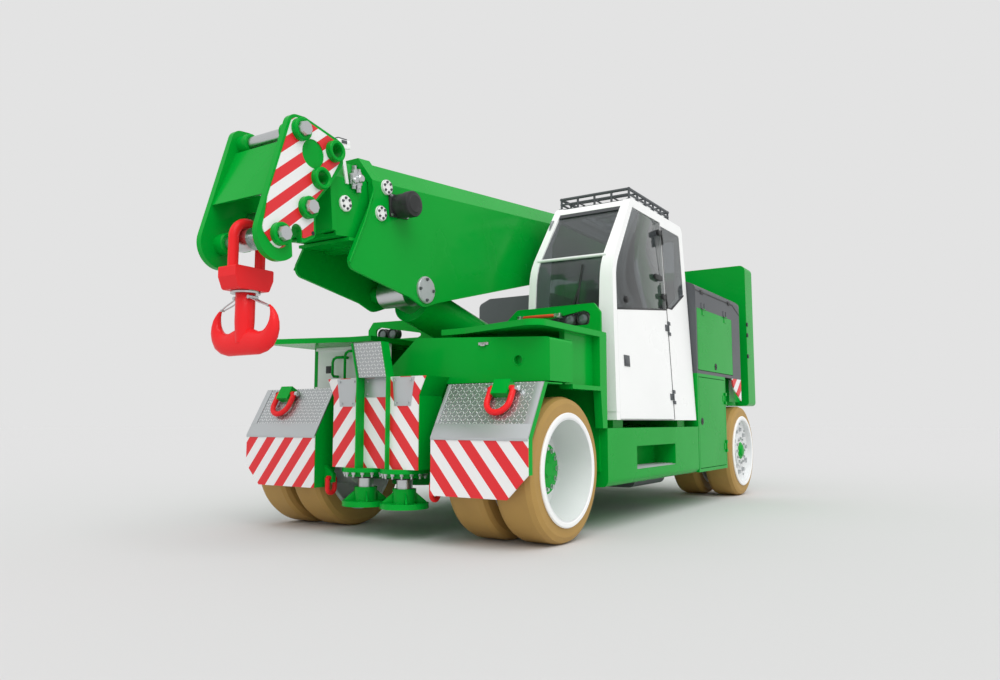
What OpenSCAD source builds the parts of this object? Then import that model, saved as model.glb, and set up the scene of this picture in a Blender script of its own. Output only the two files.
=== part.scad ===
// Pick and carry crane: wheeled yard crane with a telescopic boom over the chassis.
// Modelled about the front axle (+X forward, +Y left, +Z up, millimetres), then
// shifted so that the origin is on the ground under the middle of the whole machine.

/* [Wheels] */
// Outer diameter of a solid tyre
tyre_d = 950; // [900:1:980]
// Width of one tyre
tyre_w = 285; // [260:1:300]
// Flank to shoulder rounding of a tyre
tyre_shoulder = 46; // [30:1:60]
// Free gap between the two tyres of a pair
twin_gap = 80; // [72:1:90]
// Diameter of the rim under the tyre
rim_d = 704; // [640:1:740]
// Wall of the rim barrel
rim_wall = 26; // [18:1:36]
// Height of the rim lip past the tyre flank
rim_lip = 13; // [6:1:20]
// Distance between the axles
wheelbase = 4040; // [3980:1:4120]
// Middle plane to the middle of a tyre pair
half_track = 897; // [885:1:905]
// Diameter of the wheel hub drum
hub_d = 330; // [280:1:380]
// Diameter of the spindles that carry the wheels
spindle_d = 150; // [120:1:180]

/* [Chassis] */
// Width of the main frame box
spine_w = 600; // [560:1:620]
// Underside of the main frame box
spine_z = 430; // [400:1:480]
// Top of the main frame box
spine_top = 962; // [956:1:1000]
// Half width of the bodywork
body_hw = 1235; // [1225:1:1250]
// Foot of the side sills
sill_z = 320; // [290:1:350]
// Top of the side sills
sill_top = 740; // [700:1:760]
// Front end of the side sills, from the front axle
sill_front = -591; // [-620:1:-560]
// Split between the cab and the engine bodywork
body_split = -2580; // [-2620:1:-2570]
// Rear end of the lower side bodywork
lower_rear = -3450; // [-3455:1:-3420]
// Top of the lower bodywork, under the hoods
waist_z = 1240; // [1220:1:1260]
// Top of the engine hoods
hood_top = 2140; // [2100:1:2180]
// Rear end of the hoods
hood_rear = -4030; // [-4080:1:-3990]
// Inner side of the hoods
hood_inner = 330; // [322:1:345]
// Sheet thickness of panels
sheet = 12; // [8:1:16]
// Front face of the counterweight
weight_front = -4320; // [-4340:1:-4300]
// Thickness of the counterweight
weight_t = 280; // [240:1:320]
// Top of the counterweight
weight_top = 2562; // [2500:1:2600]

/* [Front] */
// Front plane of the wing panels
fender_front = 544; // [536:1:560]
// Inner edge of a front wing
fender_in = 522; // [515:1:530]
// Outer edge of a front wing
fender_out = 1250; // [1245:1:1260]
// Lower edge of the wing panel
fender_z = 319; // [300:1:340]
// Bend line of the wing panel
fender_bend = 686; // [660:1:710]
// Rear end of the sloping cover
fender_back = 348; // [330:1:360]
// Top of the sloping cover
fender_top = 1035; // [1020:1:1050]
// Middle plane to a jack
jack_y = 175; // [168:1:185]
// Jack axis ahead of the front axle
jack_x = 385; // [380:1:392]
// Diameter of the jack rod
jack_rod_d = 110; // [90:1:120]
// Diameter of the jack foot
jack_foot_d = 330; // [300:1:334]
// Diameter of the jack housing flange
flange_d = 336; // [320:1:340]
// Underside of the raised jack foot
jack_foot_z = 205; // [202:1:220]
// Underside of the nose box
nose_z = 470; // [460:1:485]
// Top of the nose box
nose_top = 1090; // [1070:1:1110]
// Half width of the nose box
nose_hw = 385; // [370:1:395]
// Underside of the deck plates
deck_z = 1390; // [1385:1:1400]
// Thickness of the deck plates
deck_t = 40; // [30:1:50]
// Free slot between the deck plates, half width
deck_slot = 330; // [322:1:345]

/* [Cab] */
// Front edge of the cab at its foot
cab_front = -784; // [-800:1:-770]
// Rear wall of the cab
cab_rear = -2560; // [-2566:1:-2540]
// Underside of the cab
cab_z = 800; // [790:1:810]
// Roof of the cab
cab_top = 2640; // [2600:1:2660]
// Inner side of the cab
cab_in = 430; // [420:1:440]
// Outer side of the cab at its foot
cab_out = 1222; // [1215:1:1230]
// Inward lean of the outer side over the cab's height
cab_lean_in = 100; // [80:1:120]
// Wall of the cab
cab_wall = 60; // [50:1:70]
// Hinge edge of the cab door
door_rear = -1985; // [-2000:1:-1970]
// Thickness of the cab door
door_t = 40; // [32:1:46]
// Free gap round a door
door_gap = 6; // [5:0.5:8]

/* [Boom] */
// Boom pivot behind the front axle
pivot_x = -3450; // [-3470:1:-3430]
// Boom pivot above the ground
pivot_z = 2600; // [2580:1:2620]
// Nose-down angle of the boom as parked
boom_dip = 5.5; // [4.5:0.1:6]
// Half width of the base section
boom_hw = 225; // [220:1:228]
// Underside of the base section below the pivot
boom_low = -245; // [-260:1:-235]
// Top of the base section above the pivot
boom_high = 315; // [300:1:325]
// Width of the sloping top corner
chamfer_w = 105; // [90:1:115]
// Height of the sloping top corner
chamfer_h = 150; // [130:1:165]
// Wall of the base section
base_wall = 20; // [16:1:24]
// Wall of the middle section
mid_wall = 16; // [14:1:18]
// Wall of the inner section
fly_wall = 14; // [12:1:16]
// Running gap between the sections
section_gap = 8; // [7:0.5:9]
// Front end of the base section
base_front = 4290; // [4270:1:4300]
// Front end of the middle section
mid_front = 4600; // [4590:1:4606]
// Thickness of the base side plates
cheek_t = 20; // [16:1:24]
// Lift pin along the boom
lug_x = 3789; // [3770:1:3800]
// Lift pin below the boom pivot
lug_z = -529; // [-540:1:-520]
// Diameter of the boom pivot pin
pivot_d = 130; // [110:1:140]
// Outer face of the head plates
head_y = 262; // [258:1:268]
// Thickness of the head plates
head_t = 40; // [32:1:46]
// Bore of the two jib sockets in the head
jib_bore = 84; // [76:1:92]

/* [Lift] */
// Foot of the lift cylinder behind the front axle
lift_x = -2060; // [-2080:1:-2040]
// Foot of the lift cylinder above the ground
lift_z = 1130; // [1128:1:1140]
// Outer diameter of the lift cylinder
barrel_d = 320; // [300:1:324]
// Diameter of the lift rod
lift_rod_d = 200; // [180:1:210]
// Width of the lift cylinder's eyes
eye_w = 240; // [220:1:244]
// Diameter of the lift cylinder's pins
lift_pin_d = 110; // [100:1:120]

/* [Hook] */
// Hook pin along the boom
hook_x = 5118; // [5110:1:5126]
// Hook pin below the boom pivot
hook_z = -278; // [-284:1:-272]
// Bar diameter of the hook bow
bow_bar = 60; // [52:1:64]
// Radius of the saddle that the bow hangs on
saddle_r = 65; // [60:1:70]
// Hook pin to the underside of the bow's block
bow_drop = 300; // [290:1:310]
// Distance from the hook pin to the bottom of the hook
hook_drop = 670; // [660:1:680]
// Outer radius of each half of the hook
horn_r = 150; // [144:1:156]
// Radius of each hook's throat
throat_r = 89; // [84:1:94]
// Thickness of the hook
horn_t = 84; // [72:1:96]

/* [Hidden] */
$fn = 48;

green = "#10a33c";
white = "#f4f4f2";
steel = "#c4c8ca";
black = "#26282a";
grey = "#55585b";
red = "#e22a25";
tan_rubber = "#b3905a";
glass_tint = [0.25, 0.27, 0.28, 0.5];

// Running clearance at pins, rods and spindles
run_gap = 0.3;
// Least free space between moving pieces and what they pass
free_gap = 8;

axle_z = tyre_d / 2;
rear_x = -wheelbase;
pair_w = 2 * tyre_w + twin_gap;
tyre_y = (tyre_w + twin_gap) / 2;
spine_front = jack_x - flange_d / 2 - free_gap;
nose_back = 250;
spine_rear = weight_front - weight_t;
deck_top = deck_z + deck_t;
cab_lean = atan2(cab_lean_in, cab_top - cab_z);
bay_in = spine_w / 2;

// Boom frame: x along the boom from the pivot, z across it
function boom_point(x, z) = [pivot_x + x * cos(boom_dip) + z * sin(boom_dip),
    pivot_z - x * sin(boom_dip) + z * cos(boom_dip)];

lug_point = boom_point(lug_x, lug_z);
lift_angle = atan2(lug_point[1] - lift_z, lug_point[0] - lift_x);
lift_length = norm([lug_point[0] - lift_x, lug_point[1] - lift_z]);

// Section insets of the nested boom tubes
mid_inset = base_wall + section_gap;
fly_inset = mid_inset + mid_wall + section_gap;
fly_hw = boom_hw - fly_inset;

// The round of the head plates about the hook pin and the rear lamps set the length of the machine
head_nose_r = 150;
rear_lamp_t = 24;
reach_front = boom_point(hook_x, hook_z)[0] + head_nose_r;
reach_rear = spine_rear - rear_lamp_t;
frame_x = -(reach_front + reach_rear) / 2;

// Moves from the front axle to the part's own origin
module place() {
    translate([frame_x, 0, 0])
        children();
}

// Plate drawn in X and Z, between two planes across the machine
module xz(y0, y1) {
    translate([0, y1, 0])
        rotate([90, 0, 0])
            linear_extrude(y1 - y0)
                children();
}

// Plate drawn in Y and Z, between two planes along the machine
module yz(x0, x1) {
    translate([x0, 0, 0])
        rotate([90, 0, 90])
            linear_extrude(x1 - x0)
                children();
}

// Plate drawn in X and Y, between two heights
module xy(z0, z1) {
    translate([0, 0, z0])
        linear_extrude(z1 - z0)
            children();
}

// Block between two corners
module block(low, high) {
    translate(low)
        cube(high - low);
}

// Round bar across the machine
module bar_y(x, z, y0, y1, d) {
    translate([x, y1, z])
        rotate([90, 0, 0])
            cylinder(d = d, h = y1 - y0);
}

// Round bar along the machine
module bar_x(y, z, x0, x1, d) {
    translate([x0, y, z])
        rotate([0, 90, 0])
            cylinder(d = d, h = x1 - x0);
}

// The same piece on both sides of the middle plane
module both_sides() {
    children();
    mirror([0, 1, 0])
        children();
}

// Outline with rounded corners from rows of [across, up, corner radius]
function unit(v) = v / norm(v);
function corner_arc(p0, p1, p2, r) =
    let (
        u = unit(p0 - p1),
        v = unit(p2 - p1),
        half = acos(u * v) / 2,
        start = p1 + u * (r / tan(half)),
        finish = p1 + v * (r / tan(half)),
        mid = p1 + unit(u + v) * (r / sin(half)),
        a0 = atan2(start[1] - mid[1], start[0] - mid[0]),
        a1 = atan2(finish[1] - mid[1], finish[0] - mid[0]),
        turn = (a1 - a0 + 540) % 360 - 180,
        steps = max(2, ceil(abs(turn) / 15))
    )
    [for (i = [0:steps]) mid + r * [cos(a0 + turn * i / steps), sin(a0 + turn * i / steps)]];
function flat_point(row) = [row[0], row[1]];
function outline(rows) =
    let (n = len(rows))
    [for (i = [0:n - 1])
        each rows[i][2] > 0
            ? corner_arc(flat_point(rows[(i + n - 1) % n]), flat_point(rows[i]),
                flat_point(rows[(i + 1) % n]), rows[i][2])
            : [flat_point(rows[i])]];
module shape(rows) {
    polygon(outline(rows));
}

module boom_frame() {
    translate([pivot_x, 0, pivot_z])
        rotate([0, boom_dip, 0])
            children();
}

module lift_frame() {
    translate([lift_x, 0, lift_z])
        rotate([0, -lift_angle, 0])
            children();
}

// Cross-section of the boom, set in from the outside of the base section
function boom_section(inset) =
    let (
        slope = atan2(chamfer_h, chamfer_w),
        y = boom_hw - inset,
        shoulder = boom_high - chamfer_h - inset * tan((90 - slope) / 2),
        crown = boom_hw - chamfer_w - inset * tan(slope / 2)
    )
    [[y, boom_low + inset], [y, shoulder], [crown, boom_high - inset],
        [-crown, boom_high - inset], [-y, shoulder], [-y, boom_low + inset]];

module boom_tube(x0, x1, inset, wall) {
    difference() {
        yz(x0, x1)
            polygon(boom_section(inset));
        yz(x0 - 1, x1 + 1)
            polygon(boom_section(inset + wall));
    }
}

// Hinge barrel about the local z axis: its leaf runs to +x, on a face below the axis
hinge_r = 6;
hinge_leaf = 60;
hinge_leaf_t = 5;
hinge_half = 30;
hinge_rise = 8;
module hinge_half_leaf(z0, z1, way) {
    translate([0, 0, z0])
        cylinder(r = hinge_r, h = z1 - z0);
    block([min(0, way * hinge_leaf), -hinge_rise, z0],
        [max(0, way * hinge_leaf), hinge_leaf_t - hinge_rise, z1]);
}
module hinge_moving() {
    hinge_half_leaf(-hinge_half, hinge_half, 1);
}
module hinge_fixed() {
    hinge_half_leaf(hinge_half + run_gap, 2 * hinge_half, -1);
    hinge_half_leaf(-2 * hinge_half, -hinge_half - run_gap, -1);
}

// Chassis

lift_lug_t = 40;
lift_lug_y = eye_w / 2 + free_gap;
module chassis_frame() place() color(green) {
    block([spine_rear, -spine_w / 2, spine_z], [spine_front, spine_w / 2, spine_top]);
    block([spine_front, -spine_w / 2, nose_z], [nose_back, spine_w / 2, spine_top]);
    both_sides()
        xz(lift_lug_y, lift_lug_y + lift_lug_t) {
            translate([lift_x, lift_z])
                circle(r = lift_pin_d);
            polygon([[lift_x - 200, spine_top], [lift_x + 130, spine_top],
                [lift_x + lift_pin_d, lift_z], [lift_x - lift_pin_d, lift_z]]);
        }
    bar_y(lift_x, lift_z, -lift_lug_y - lift_lug_t - 20, lift_lug_y + lift_lug_t + 20, lift_pin_d);
}

tower_t = 32;
tower_y = boom_hw + cheek_t + free_gap;
module boom_tower() place() color(green) {
    both_sides()
        xz(tower_y, tower_y + tower_t)
            shape([[pivot_x + 420, spine_top, 0], [pivot_x + 140, pivot_z + 60, 130],
                [pivot_x - 150, pivot_z + 130, 110], [pivot_x - 380, spine_top, 0]]);
    bar_y(pivot_x, pivot_z, -tower_y - tower_t - 14, tower_y + tower_t + 14, pivot_d);
}

spindle_root = half_track - pair_w / 2 - 12;
axle_beam_d = 240;
diff_d = 400;
module front_axle() place() color(green) {
    both_sides() {
        bar_y(0, axle_z, spine_w / 2, spindle_root, axle_beam_d);
        bar_y(0, axle_z, spindle_root, half_track + tyre_w / 2, spindle_d);
    }
    translate([0, 0, spine_z - 90])
        cylinder(d = diff_d, h = 90);
}

ring_d = 520;
ring_t = 16;
table_z = tyre_d + free_gap;
table_t = 26;
rear_beam_l = 400;
module rear_axle() place() color(green) {
    both_sides() {
        block([rear_x - rear_beam_l / 2, bay_in, table_z + table_t + run_gap + ring_t],
            [rear_x + rear_beam_l / 2, half_track + ring_d / 2, waist_z]);
        translate([rear_x, half_track, table_z + table_t + run_gap])
            cylinder(d = ring_d, h = ring_t);
        block([rear_x - rear_beam_l / 2, bay_in, spine_top - 120],
            [rear_x + rear_beam_l / 2, bay_in + 20, table_z + table_t + run_gap + ring_t]);
    }
}

// Front end

nose_front = 500;
rib_front = 540;
rib_y = 129;
rib_t = 12;
rib_w = 70;
// Upper end of the overhanging cover between the ribs
cover_x = 600;
cover_z = 1325;
nose_flare = 60;
nose_flare_z = nose_top - 130;
recess = 40;
housing_d = 250;
flange_t = 30;
panel_t = 6;
jack_bore_h = 480;
// Front view of one outer half of the nose, flaring at its top
module nose_front_view() {
    polygon([[rib_y + rib_t, nose_z], [nose_hw, nose_z], [nose_hw, nose_flare_z],
        [nose_hw + nose_flare, nose_top], [rib_y + rib_t, nose_top]]);
}
module nose_box() place() color(green) difference() {
    union() {
        both_sides() {
            yz(nose_back, nose_front)
                nose_front_view();
            xz(rib_y, rib_y + rib_t)
                polygon([[nose_back, nose_z], [rib_front, nose_z], [rib_front, nose_top], [cover_x, cover_z],
                    [cover_x - rib_w, cover_z], [rib_front - rib_w, nose_top], [nose_back, nose_top]]);
            translate([jack_x, jack_y, nose_z - flange_t])
                cylinder(d = flange_d, h = flange_t);
            translate([jack_x, jack_y, nose_z - 2 * flange_t])
                cylinder(d = housing_d, h = flange_t);
        }
        block([nose_back, -rib_y, nose_z], [nose_front - recess, rib_y, nose_top]);
    }
    both_sides()
        translate([jack_x, jack_y, nose_z - 2 * flange_t - 1])
            cylinder(d = jack_rod_d + 2 * run_gap, h = jack_bore_h);
}

tread_t = 8;
module tread_plates() place() color(steel) {
    both_sides()
        xz(fender_in, fender_out)
            polygon([[fender_front, fender_bend], [fender_front + tread_t, fender_bend],
                [fender_back + tread_t, fender_top], [fender_back, fender_top]]);
    xz(-rib_y, rib_y)
        polygon([[rib_front - rib_w, nose_top], [rib_front - tread_t, nose_top], [cover_x - tread_t, cover_z],
            [cover_x - 2 * tread_t, cover_z], [rib_front - 2 * tread_t, nose_top + tread_t],
            [rib_front - rib_w, nose_top + tread_t]]);
}

stripe_cut = 150;
rear_panel_front = hood_rear + 330;
module warning_panels() place() color(white) {
    both_sides() {
        yz(fender_front, fender_front + panel_t)
            polygon([[fender_in, fender_bend], [fender_out, fender_bend],
                [fender_out, fender_z + stripe_cut], [fender_out - stripe_cut, fender_z],
                [fender_in, fender_z]]);
        yz(nose_front, nose_front + panel_t)
            nose_front_view();
        xz(body_hw - sheet, body_hw)
            polygon([[hood_rear, waist_z], [rear_panel_front, waist_z],
                [rear_panel_front - 60, waist_z - 110], [hood_rear, waist_z - 230]]);
    }
    yz(nose_front - recess, nose_front - recess + panel_t)
        polygon([[-rib_y, nose_z], [rib_y, nose_z], [rib_y, nose_top], [-rib_y, nose_top]]);
}

fender_flange = 46;
// Length of the wing behind its slope, and the width of its lower strip
wing_l = 250;
wing_w = 130;
fender_side_t = 10;
module fender_side() {
    polygon([[fender_front, fender_z], [fender_front, fender_bend], [fender_back, fender_top],
        [fender_back - wing_l, fender_top], [fender_back - wing_w, fender_z + 330],
        [fender_front - wing_w, fender_z]]);
}
module fender_rim_strip() {
    polygon([[fender_front, fender_z + stripe_cut], [fender_front, fender_bend], [fender_back, fender_top],
        [fender_back - fender_flange, fender_top], [fender_front - fender_flange, fender_bend],
        [fender_front - fender_flange, fender_z + stripe_cut]]);
}
module front_fender() {
    slope_frame()
        shackle_lug();
    low_lug();
    xz(fender_in, fender_in + fender_side_t)
        fender_side();
    xz(fender_out - fender_side_t, fender_out)
        fender_rim_strip();
    xz(fender_in + fender_side_t, fender_out - fender_side_t)
        polygon([[fender_front - 6, fender_bend - 20], [fender_front, fender_bend - 20],
            [fender_front, fender_bend], [fender_back, fender_top], [fender_back - wing_l, fender_top],
            [fender_back - wing_l, fender_top - tread_t], [fender_back - 4, fender_top - tread_t],
            [fender_front - 6, fender_bend - 3]]);
    xz(spine_w / 2, fender_in)
        polygon([[spine_front, fender_top - 30], [fender_back - wing_l, fender_top - 30],
            [fender_back - wing_l, spine_top - 20], [spine_front, spine_top - 20]]);
}
module fender_left() place() color(green)
    front_fender();
module fender_right() place() color(green)
    mirror([0, 1, 0])
        front_fender();

locker_front = nose_back;
locker_back = -60;
locker_z = fender_top + 10;
// Filler hole of the locker, from the side of the bodywork
filler_inset = 235;
filler_d = 60;
module front_locker() place() color(green) difference() {
    yz(locker_back, locker_front)
        shape([[-rib_y, locker_z, 0], [body_hw, locker_z, 0], [body_hw, 1326, 24], [158, 1376, 10],
            [-rib_y, 1131, 0]]);
    bar_x(body_hw - filler_inset, locker_z + 140, locker_front - 30, locker_front + 1, filler_d);
}

// Deck plates over the front wheels, with their outer posts and the lamp screens
screen_x = -700;
screen_t = 20;
screen_rear = screen_x - 76;
screen_top = 1672;
screen_out_y = body_hw - 85;
// Middle between two lamps, from the outer end of their screen
lamp_inset = 210;
lamp_y = screen_out_y - lamp_inset;
// Inner end of the screen's slot
slot_in = deck_slot + 180;
lamp_z = 1560;
lamp_d = 96;
lamp_half = 57;
// Front edge of the outer post
post_front = -480;
module deck_side() {
    xy(deck_z, deck_top)
        shape([[sill_front, deck_slot, 0], [190, deck_slot, 0], [200, 540, 60], [420, body_hw, 90],
            [sill_front, body_hw, 0]]);
    xz(body_hw - 100, body_hw - 60)
        polygon([[sill_front, fender_top - 30], [locker_back, fender_top - 30], [locker_back, deck_z],
            [sill_front, deck_z]]);
    xz(body_hw - 60, body_hw)
        polygon([[sill_front, sill_top], [post_front - 40, sill_top], [post_front - 10, fender_top - 30],
            [locker_back, fender_top - 30], [locker_back, fender_top], [post_front, fender_top],
            [post_front, deck_z], [sill_front, deck_z]]);
    xz(spine_w / 2, body_hw - 60)
        polygon([[sill_front, spine_z], [sill_front + sheet, spine_z], [sill_front + sheet, deck_z],
            [sill_front, deck_z]]);
    yz(screen_x, screen_x + screen_t)
        difference() {
            shape([[deck_slot, deck_top, 0], [screen_out_y, deck_top, 0],
                [screen_out_y, screen_top - 70, 20], [screen_out_y - 55, screen_top, 20],
                [deck_slot + 95, screen_top - 8, 40], [deck_slot, screen_top - 90, 20]]);
            shape([[slot_in, lamp_z - 20, 15], [lamp_y + 70, lamp_z + 62, 35],
                [lamp_y + 125, lamp_z + 40, 30], [lamp_y + 115, lamp_z - 50, 25],
                [slot_in + 70, lamp_z - 50, 15]]);
        }
    xy(deck_z, deck_top)
        polygon([[screen_rear, deck_slot], [sill_front, deck_slot], [sill_front, screen_out_y],
            [screen_rear, screen_out_y]]);
}
module deck_left() place() color(green)
    deck_side();
module deck_right() place() color(green)
    mirror([0, 1, 0])
        deck_side();

// Cab

// Side outline of the cab, set in by a wall
function cab_outline(inset) = [
    [cab_front - inset, cab_z + inset, 0],
    [cab_front - 66 - inset, 1640, 900],
    [cab_front - 95 - inset, 2010, 420],
    [cab_front - 560 - inset, cab_top - inset, 90],
    [cab_rear + inset, cab_top - inset, 60],
    [cab_rear + inset, cab_z + inset, 0]];
module cab_hull(inset) {
    intersection() {
        xz(cab_in + inset, cab_out + 10)
            shape(cab_outline(inset));
        yz(cab_rear - 10, cab_front + 10)
            polygon([[cab_in, cab_z - 10], [cab_out - inset + 10 * tan(cab_lean), cab_z - 10],
                [cab_out - cab_lean_in - inset - 20 * tan(cab_lean), cab_top + 20], [cab_in, cab_top + 20]]);
    }
}
// Outer side of the cab: local z runs up the leaning side, y points outwards
module cab_side_frame() {
    translate([0, cab_out, cab_z])
        rotate([cab_lean, 0, 0])
            children();
}
door_foot = 8;
door_high = 1760;
belt_front = 840;
belt_rear = 980;
pillar = 72;
function door_outline(grow) = [
    [door_rear - grow, door_foot - grow, 0],
    [cab_front - pillar + grow, door_foot - grow, 0],
    [cab_front - 66 - pillar + grow, 840, 900],
    [cab_front - 95 - pillar + grow, 1195, 400],
    [cab_front - 470 + grow, door_high + grow, 60],
    [door_rear - grow, door_high + grow, 0]];
pane_t = 8;
pane_in = 4;
roof_edge = 46;
door_hinges = [200, 805];
// Everything above the belt line of the door
module above_belt() {
    polygon([[door_rear - 50, belt_rear], [cab_front, belt_front], [cab_front, door_high + 100],
        [door_rear - 50, door_high + 100]]);
}
quarter_front = door_rear - 24;
quarter_rear = cab_rear + 90;
function quarter_pane() = [
    [quarter_front, belt_rear + 20, 10],
    [quarter_front, door_high - roof_edge / 2, 10],
    [quarter_rear, door_high - roof_edge / 2, 30],
    [quarter_rear, belt_rear + 190, 20],
    [quarter_front - 120, belt_rear + 20, 10]];
screen_low = 1500;
screen_in = cab_in + 62;
screen_out = cab_out - cab_lean_in - 62;
right_pane_front = -1060;
pane_low = 1560;
pane_high = cab_top - 130;
roof_pane = [cab_rear + 420, cab_front - 660, screen_in + 50, screen_out - 50];
module roof_opening() {
    polygon([[roof_pane[0], roof_pane[2]], [roof_pane[1], roof_pane[2]], [roof_pane[1], roof_pane[3]],
        [roof_pane[0], roof_pane[3]]]);
}
// Walls of the cab with their openings, before they are parted into panels
module cab_walls() difference() {
    union() {
        difference() {
            cab_hull(0);
            cab_hull(cab_wall);
        }
        cab_side_frame()
            for (z = door_hinges)
                translate([door_rear - door_gap / 2, hinge_rise, z])
                    hinge_fixed();
    }
    cab_side_frame() {
        xz(-cab_wall - 60, 60)
            intersection() {
                shape(door_outline(door_gap));
                translate([door_rear - door_gap, 0])
                    square([1300, 1900]);
            }
        xz(-cab_wall - 60, 8)
            shape(quarter_pane());
    }
    // roof
    xy(cab_top - cab_wall - 10, cab_top + 10)
        roof_opening();
    // windscreen
    xz(screen_in, screen_out)
        polygon([[cab_front - 250, screen_low], [cab_front + 50, screen_low], [cab_front + 50, 2400],
            [cab_front - 500, cab_top - 70], [cab_front - 620, cab_top - 170]]);
    // right pane
    xz(cab_in - 10, cab_in + cab_wall + 10)
        shape([[right_pane_front, pane_low, 30], [right_pane_front - 120, pane_high, 60],
            [quarter_rear, pane_high, 30], [quarter_rear, pane_low, 30]]);
    // rear pane
    yz(cab_rear - 10, cab_rear + cab_wall + 10)
        shape([[screen_in, 1750, 30], [screen_out, 1750, 30], [screen_out, pane_high, 30],
            [screen_in, pane_high, 30]]);
}

// Panels meet at the inner faces of floor, roof and side walls
module cab_panels(x0, x1, y0, y1, z0, z1) {
    intersection() {
        cab_walls();
        block([x0, y0, z0], [x1, y1, z1]);
    }
}
roof_z = cab_top - cab_wall;
wall_low = cab_z + cab_wall;
side_in = cab_in + cab_wall;
cab_far = cab_out + 100;
module cab_left_part() {
    cab_side_frame()
        block([cab_rear - 100, -cab_wall, -100], [cab_front + 100, 100, 2000]);
}
module cab_sides() place() color(white) {
    cab_panels(cab_rear - 10, cab_front + 10, cab_in - 10, side_in, wall_low, roof_z);
    intersection() {
        cab_panels(cab_rear - 10, cab_front + 10, side_in, cab_far, wall_low, roof_z);
        cab_left_part();
    }
}
module cab_ends() place() color(white) difference() {
    cab_panels(cab_rear - 10, cab_front + 10, side_in, cab_far, wall_low, roof_z);
    cab_left_part();
}
module cab_floor_roof() place() color(white) {
    cab_panels(cab_rear - 10, cab_front + 10, cab_in - 10, cab_far, cab_z - 10, wall_low);
    cab_panels(cab_rear - 10, cab_front + 10, cab_in - 10, cab_far, roof_z, cab_top + 10);
}

module cab_glass() place() color(glass_tint) {
    // windscreen follows the front of the cab
    intersection() {
        xz(screen_in, screen_out)
            polygon([[cab_front - 250, screen_low], [cab_front + 50, screen_low], [cab_front + 50, 2400],
                [cab_front - 500, cab_top - 70], [cab_front - 620, cab_top - 170]]);
        difference() {
            cab_hull(10);
            cab_hull(10 + pane_t);
        }
        block([cab_front - 620, cab_in, screen_low], [cab_front + 50, cab_out, cab_top - 71]);
    }
    xz(cab_in + 20, cab_in + 20 + pane_t)
        shape([[right_pane_front, pane_low, 30], [right_pane_front - 120, pane_high, 60],
            [quarter_rear, pane_high, 30], [quarter_rear, pane_low, 30]]);
    yz(cab_rear + 20, cab_rear + 20 + pane_t)
        shape([[screen_in, 1750, 30], [screen_out, 1750, 30], [screen_out, pane_high, 30],
            [screen_in, pane_high, 30]]);
    cab_side_frame()
        xz(-pane_in - pane_t, -pane_in)
            shape(quarter_pane());
    xy(cab_top - 20 - pane_t, cab_top - 20)
        roof_opening();
}

cab_floor = cab_z + cab_wall;
seat_x = -1950;
// The seat stands between the cab's inner wall and the leaning side's upper end
seat_room = cab_out - cab_lean_in - cab_wall - side_in;
seat_clear = 46;
seat_hw = seat_room / 2 - seat_clear;
seat_shift = 24;
seat_y = side_in + seat_room / 2 + seat_shift;
module operator_seat() place() color(black) {
    translate([seat_x, seat_y, cab_floor])
        cylinder(d = 220, h = 330);
    block([seat_x - 260, seat_y - seat_hw, cab_floor + 330], [seat_x + 260, seat_y + seat_hw, cab_floor + 460]);
    xz(seat_y - seat_hw + 10, seat_y + seat_hw - 10)
        shape([[seat_x - 160, cab_floor + 460, 0], [seat_x - 260, cab_floor + 460, 0],
            [seat_x - 390, cab_floor + 1120, 40], [seat_x - 270, cab_floor + 1120, 40]]);
}
module steering_console() place() color(black) {
    block([cab_front - 420, seat_y - 160, cab_floor], [cab_front - 220, seat_y + 160, cab_floor + 380]);
    translate([cab_front - 330, seat_y, cab_floor + 380])
        rotate([0, -28, 0]) {
            translate([0, 0, -40])
                cylinder(d = 80, h = 330);
            translate([0, 0, 290])
                rotate_extrude()
                    translate([175, 0])
                        circle(d = 32);
            translate([0, 0, 275])
                for (turn = [0, 120, 240])
                    rotate([0, 0, turn])
                        block([0, -18, 0], [172, 18, 22]);
        }
}

guard_z = cab_top;
guard_rise = 95;
guard_bar = 26;
guard_x = [cab_rear + 90, -1900, cab_front - 620];
guard_in = cab_in + 60;
guard_out = cab_out - cab_lean_in - 60;
module roof_guard() place() color(grey) {
    for (y = [guard_in, guard_out]) {
        bar_x(y, guard_z + guard_rise, guard_x[0], guard_x[2], guard_bar);
        for (x = guard_x)
            translate([x, y, guard_z])
                cylinder(d = guard_bar, h = guard_rise);
    }
    for (i = [0:6])
        bar_y(guard_x[0] + i * (guard_x[2] - guard_x[0]) / 6, guard_z + guard_rise, guard_in, guard_out,
            guard_bar);
}

module door_panel() place() color(white)
    cab_side_frame() {
        xz(-door_t, 0)
            difference() {
                shape(door_outline(0));
                above_belt();
            }
        for (z = door_hinges)
            translate([door_rear - door_gap / 2, hinge_rise, z])
                hinge_moving();
    }
module door_glass() place() color(glass_tint)
    cab_side_frame()
        xz(-pane_in - pane_t, -pane_in)
            intersection() {
                shape(door_outline(0));
                above_belt();
            }

// Side bodywork

step_front = -1119;
step_rear = -1960;
step_z = 424;
step_high = 600;
step_deep = 190;
module sill_body() {
    difference() {
        yz(body_split + 12, sill_front)
            shape([[bay_in, sill_z + 60, 0], [bay_in + 200, sill_z, 40], [body_hw, sill_z, 50],
                [body_hw, sill_top, 0], [bay_in, sill_top, 0]]);
        block([step_rear, body_hw - step_deep, step_z], [step_front, body_hw + 1, step_high]);
    }
}
cab_feet = [cab_front - 150, cab_rear + 250];
module sill_left() place() color(green) {
    sill_body();
    for (x = cab_feet)
        block([x - 90, cab_in + 40, sill_top], [x + 90, cab_out - 60, cab_z]);
}
module sill_right() place() color(green)
    mirror([0, 1, 0]) {
        sill_body();
        block([body_split + 12, deck_slot, sill_top], [sill_front, body_hw, deck_z]);
    }

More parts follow.
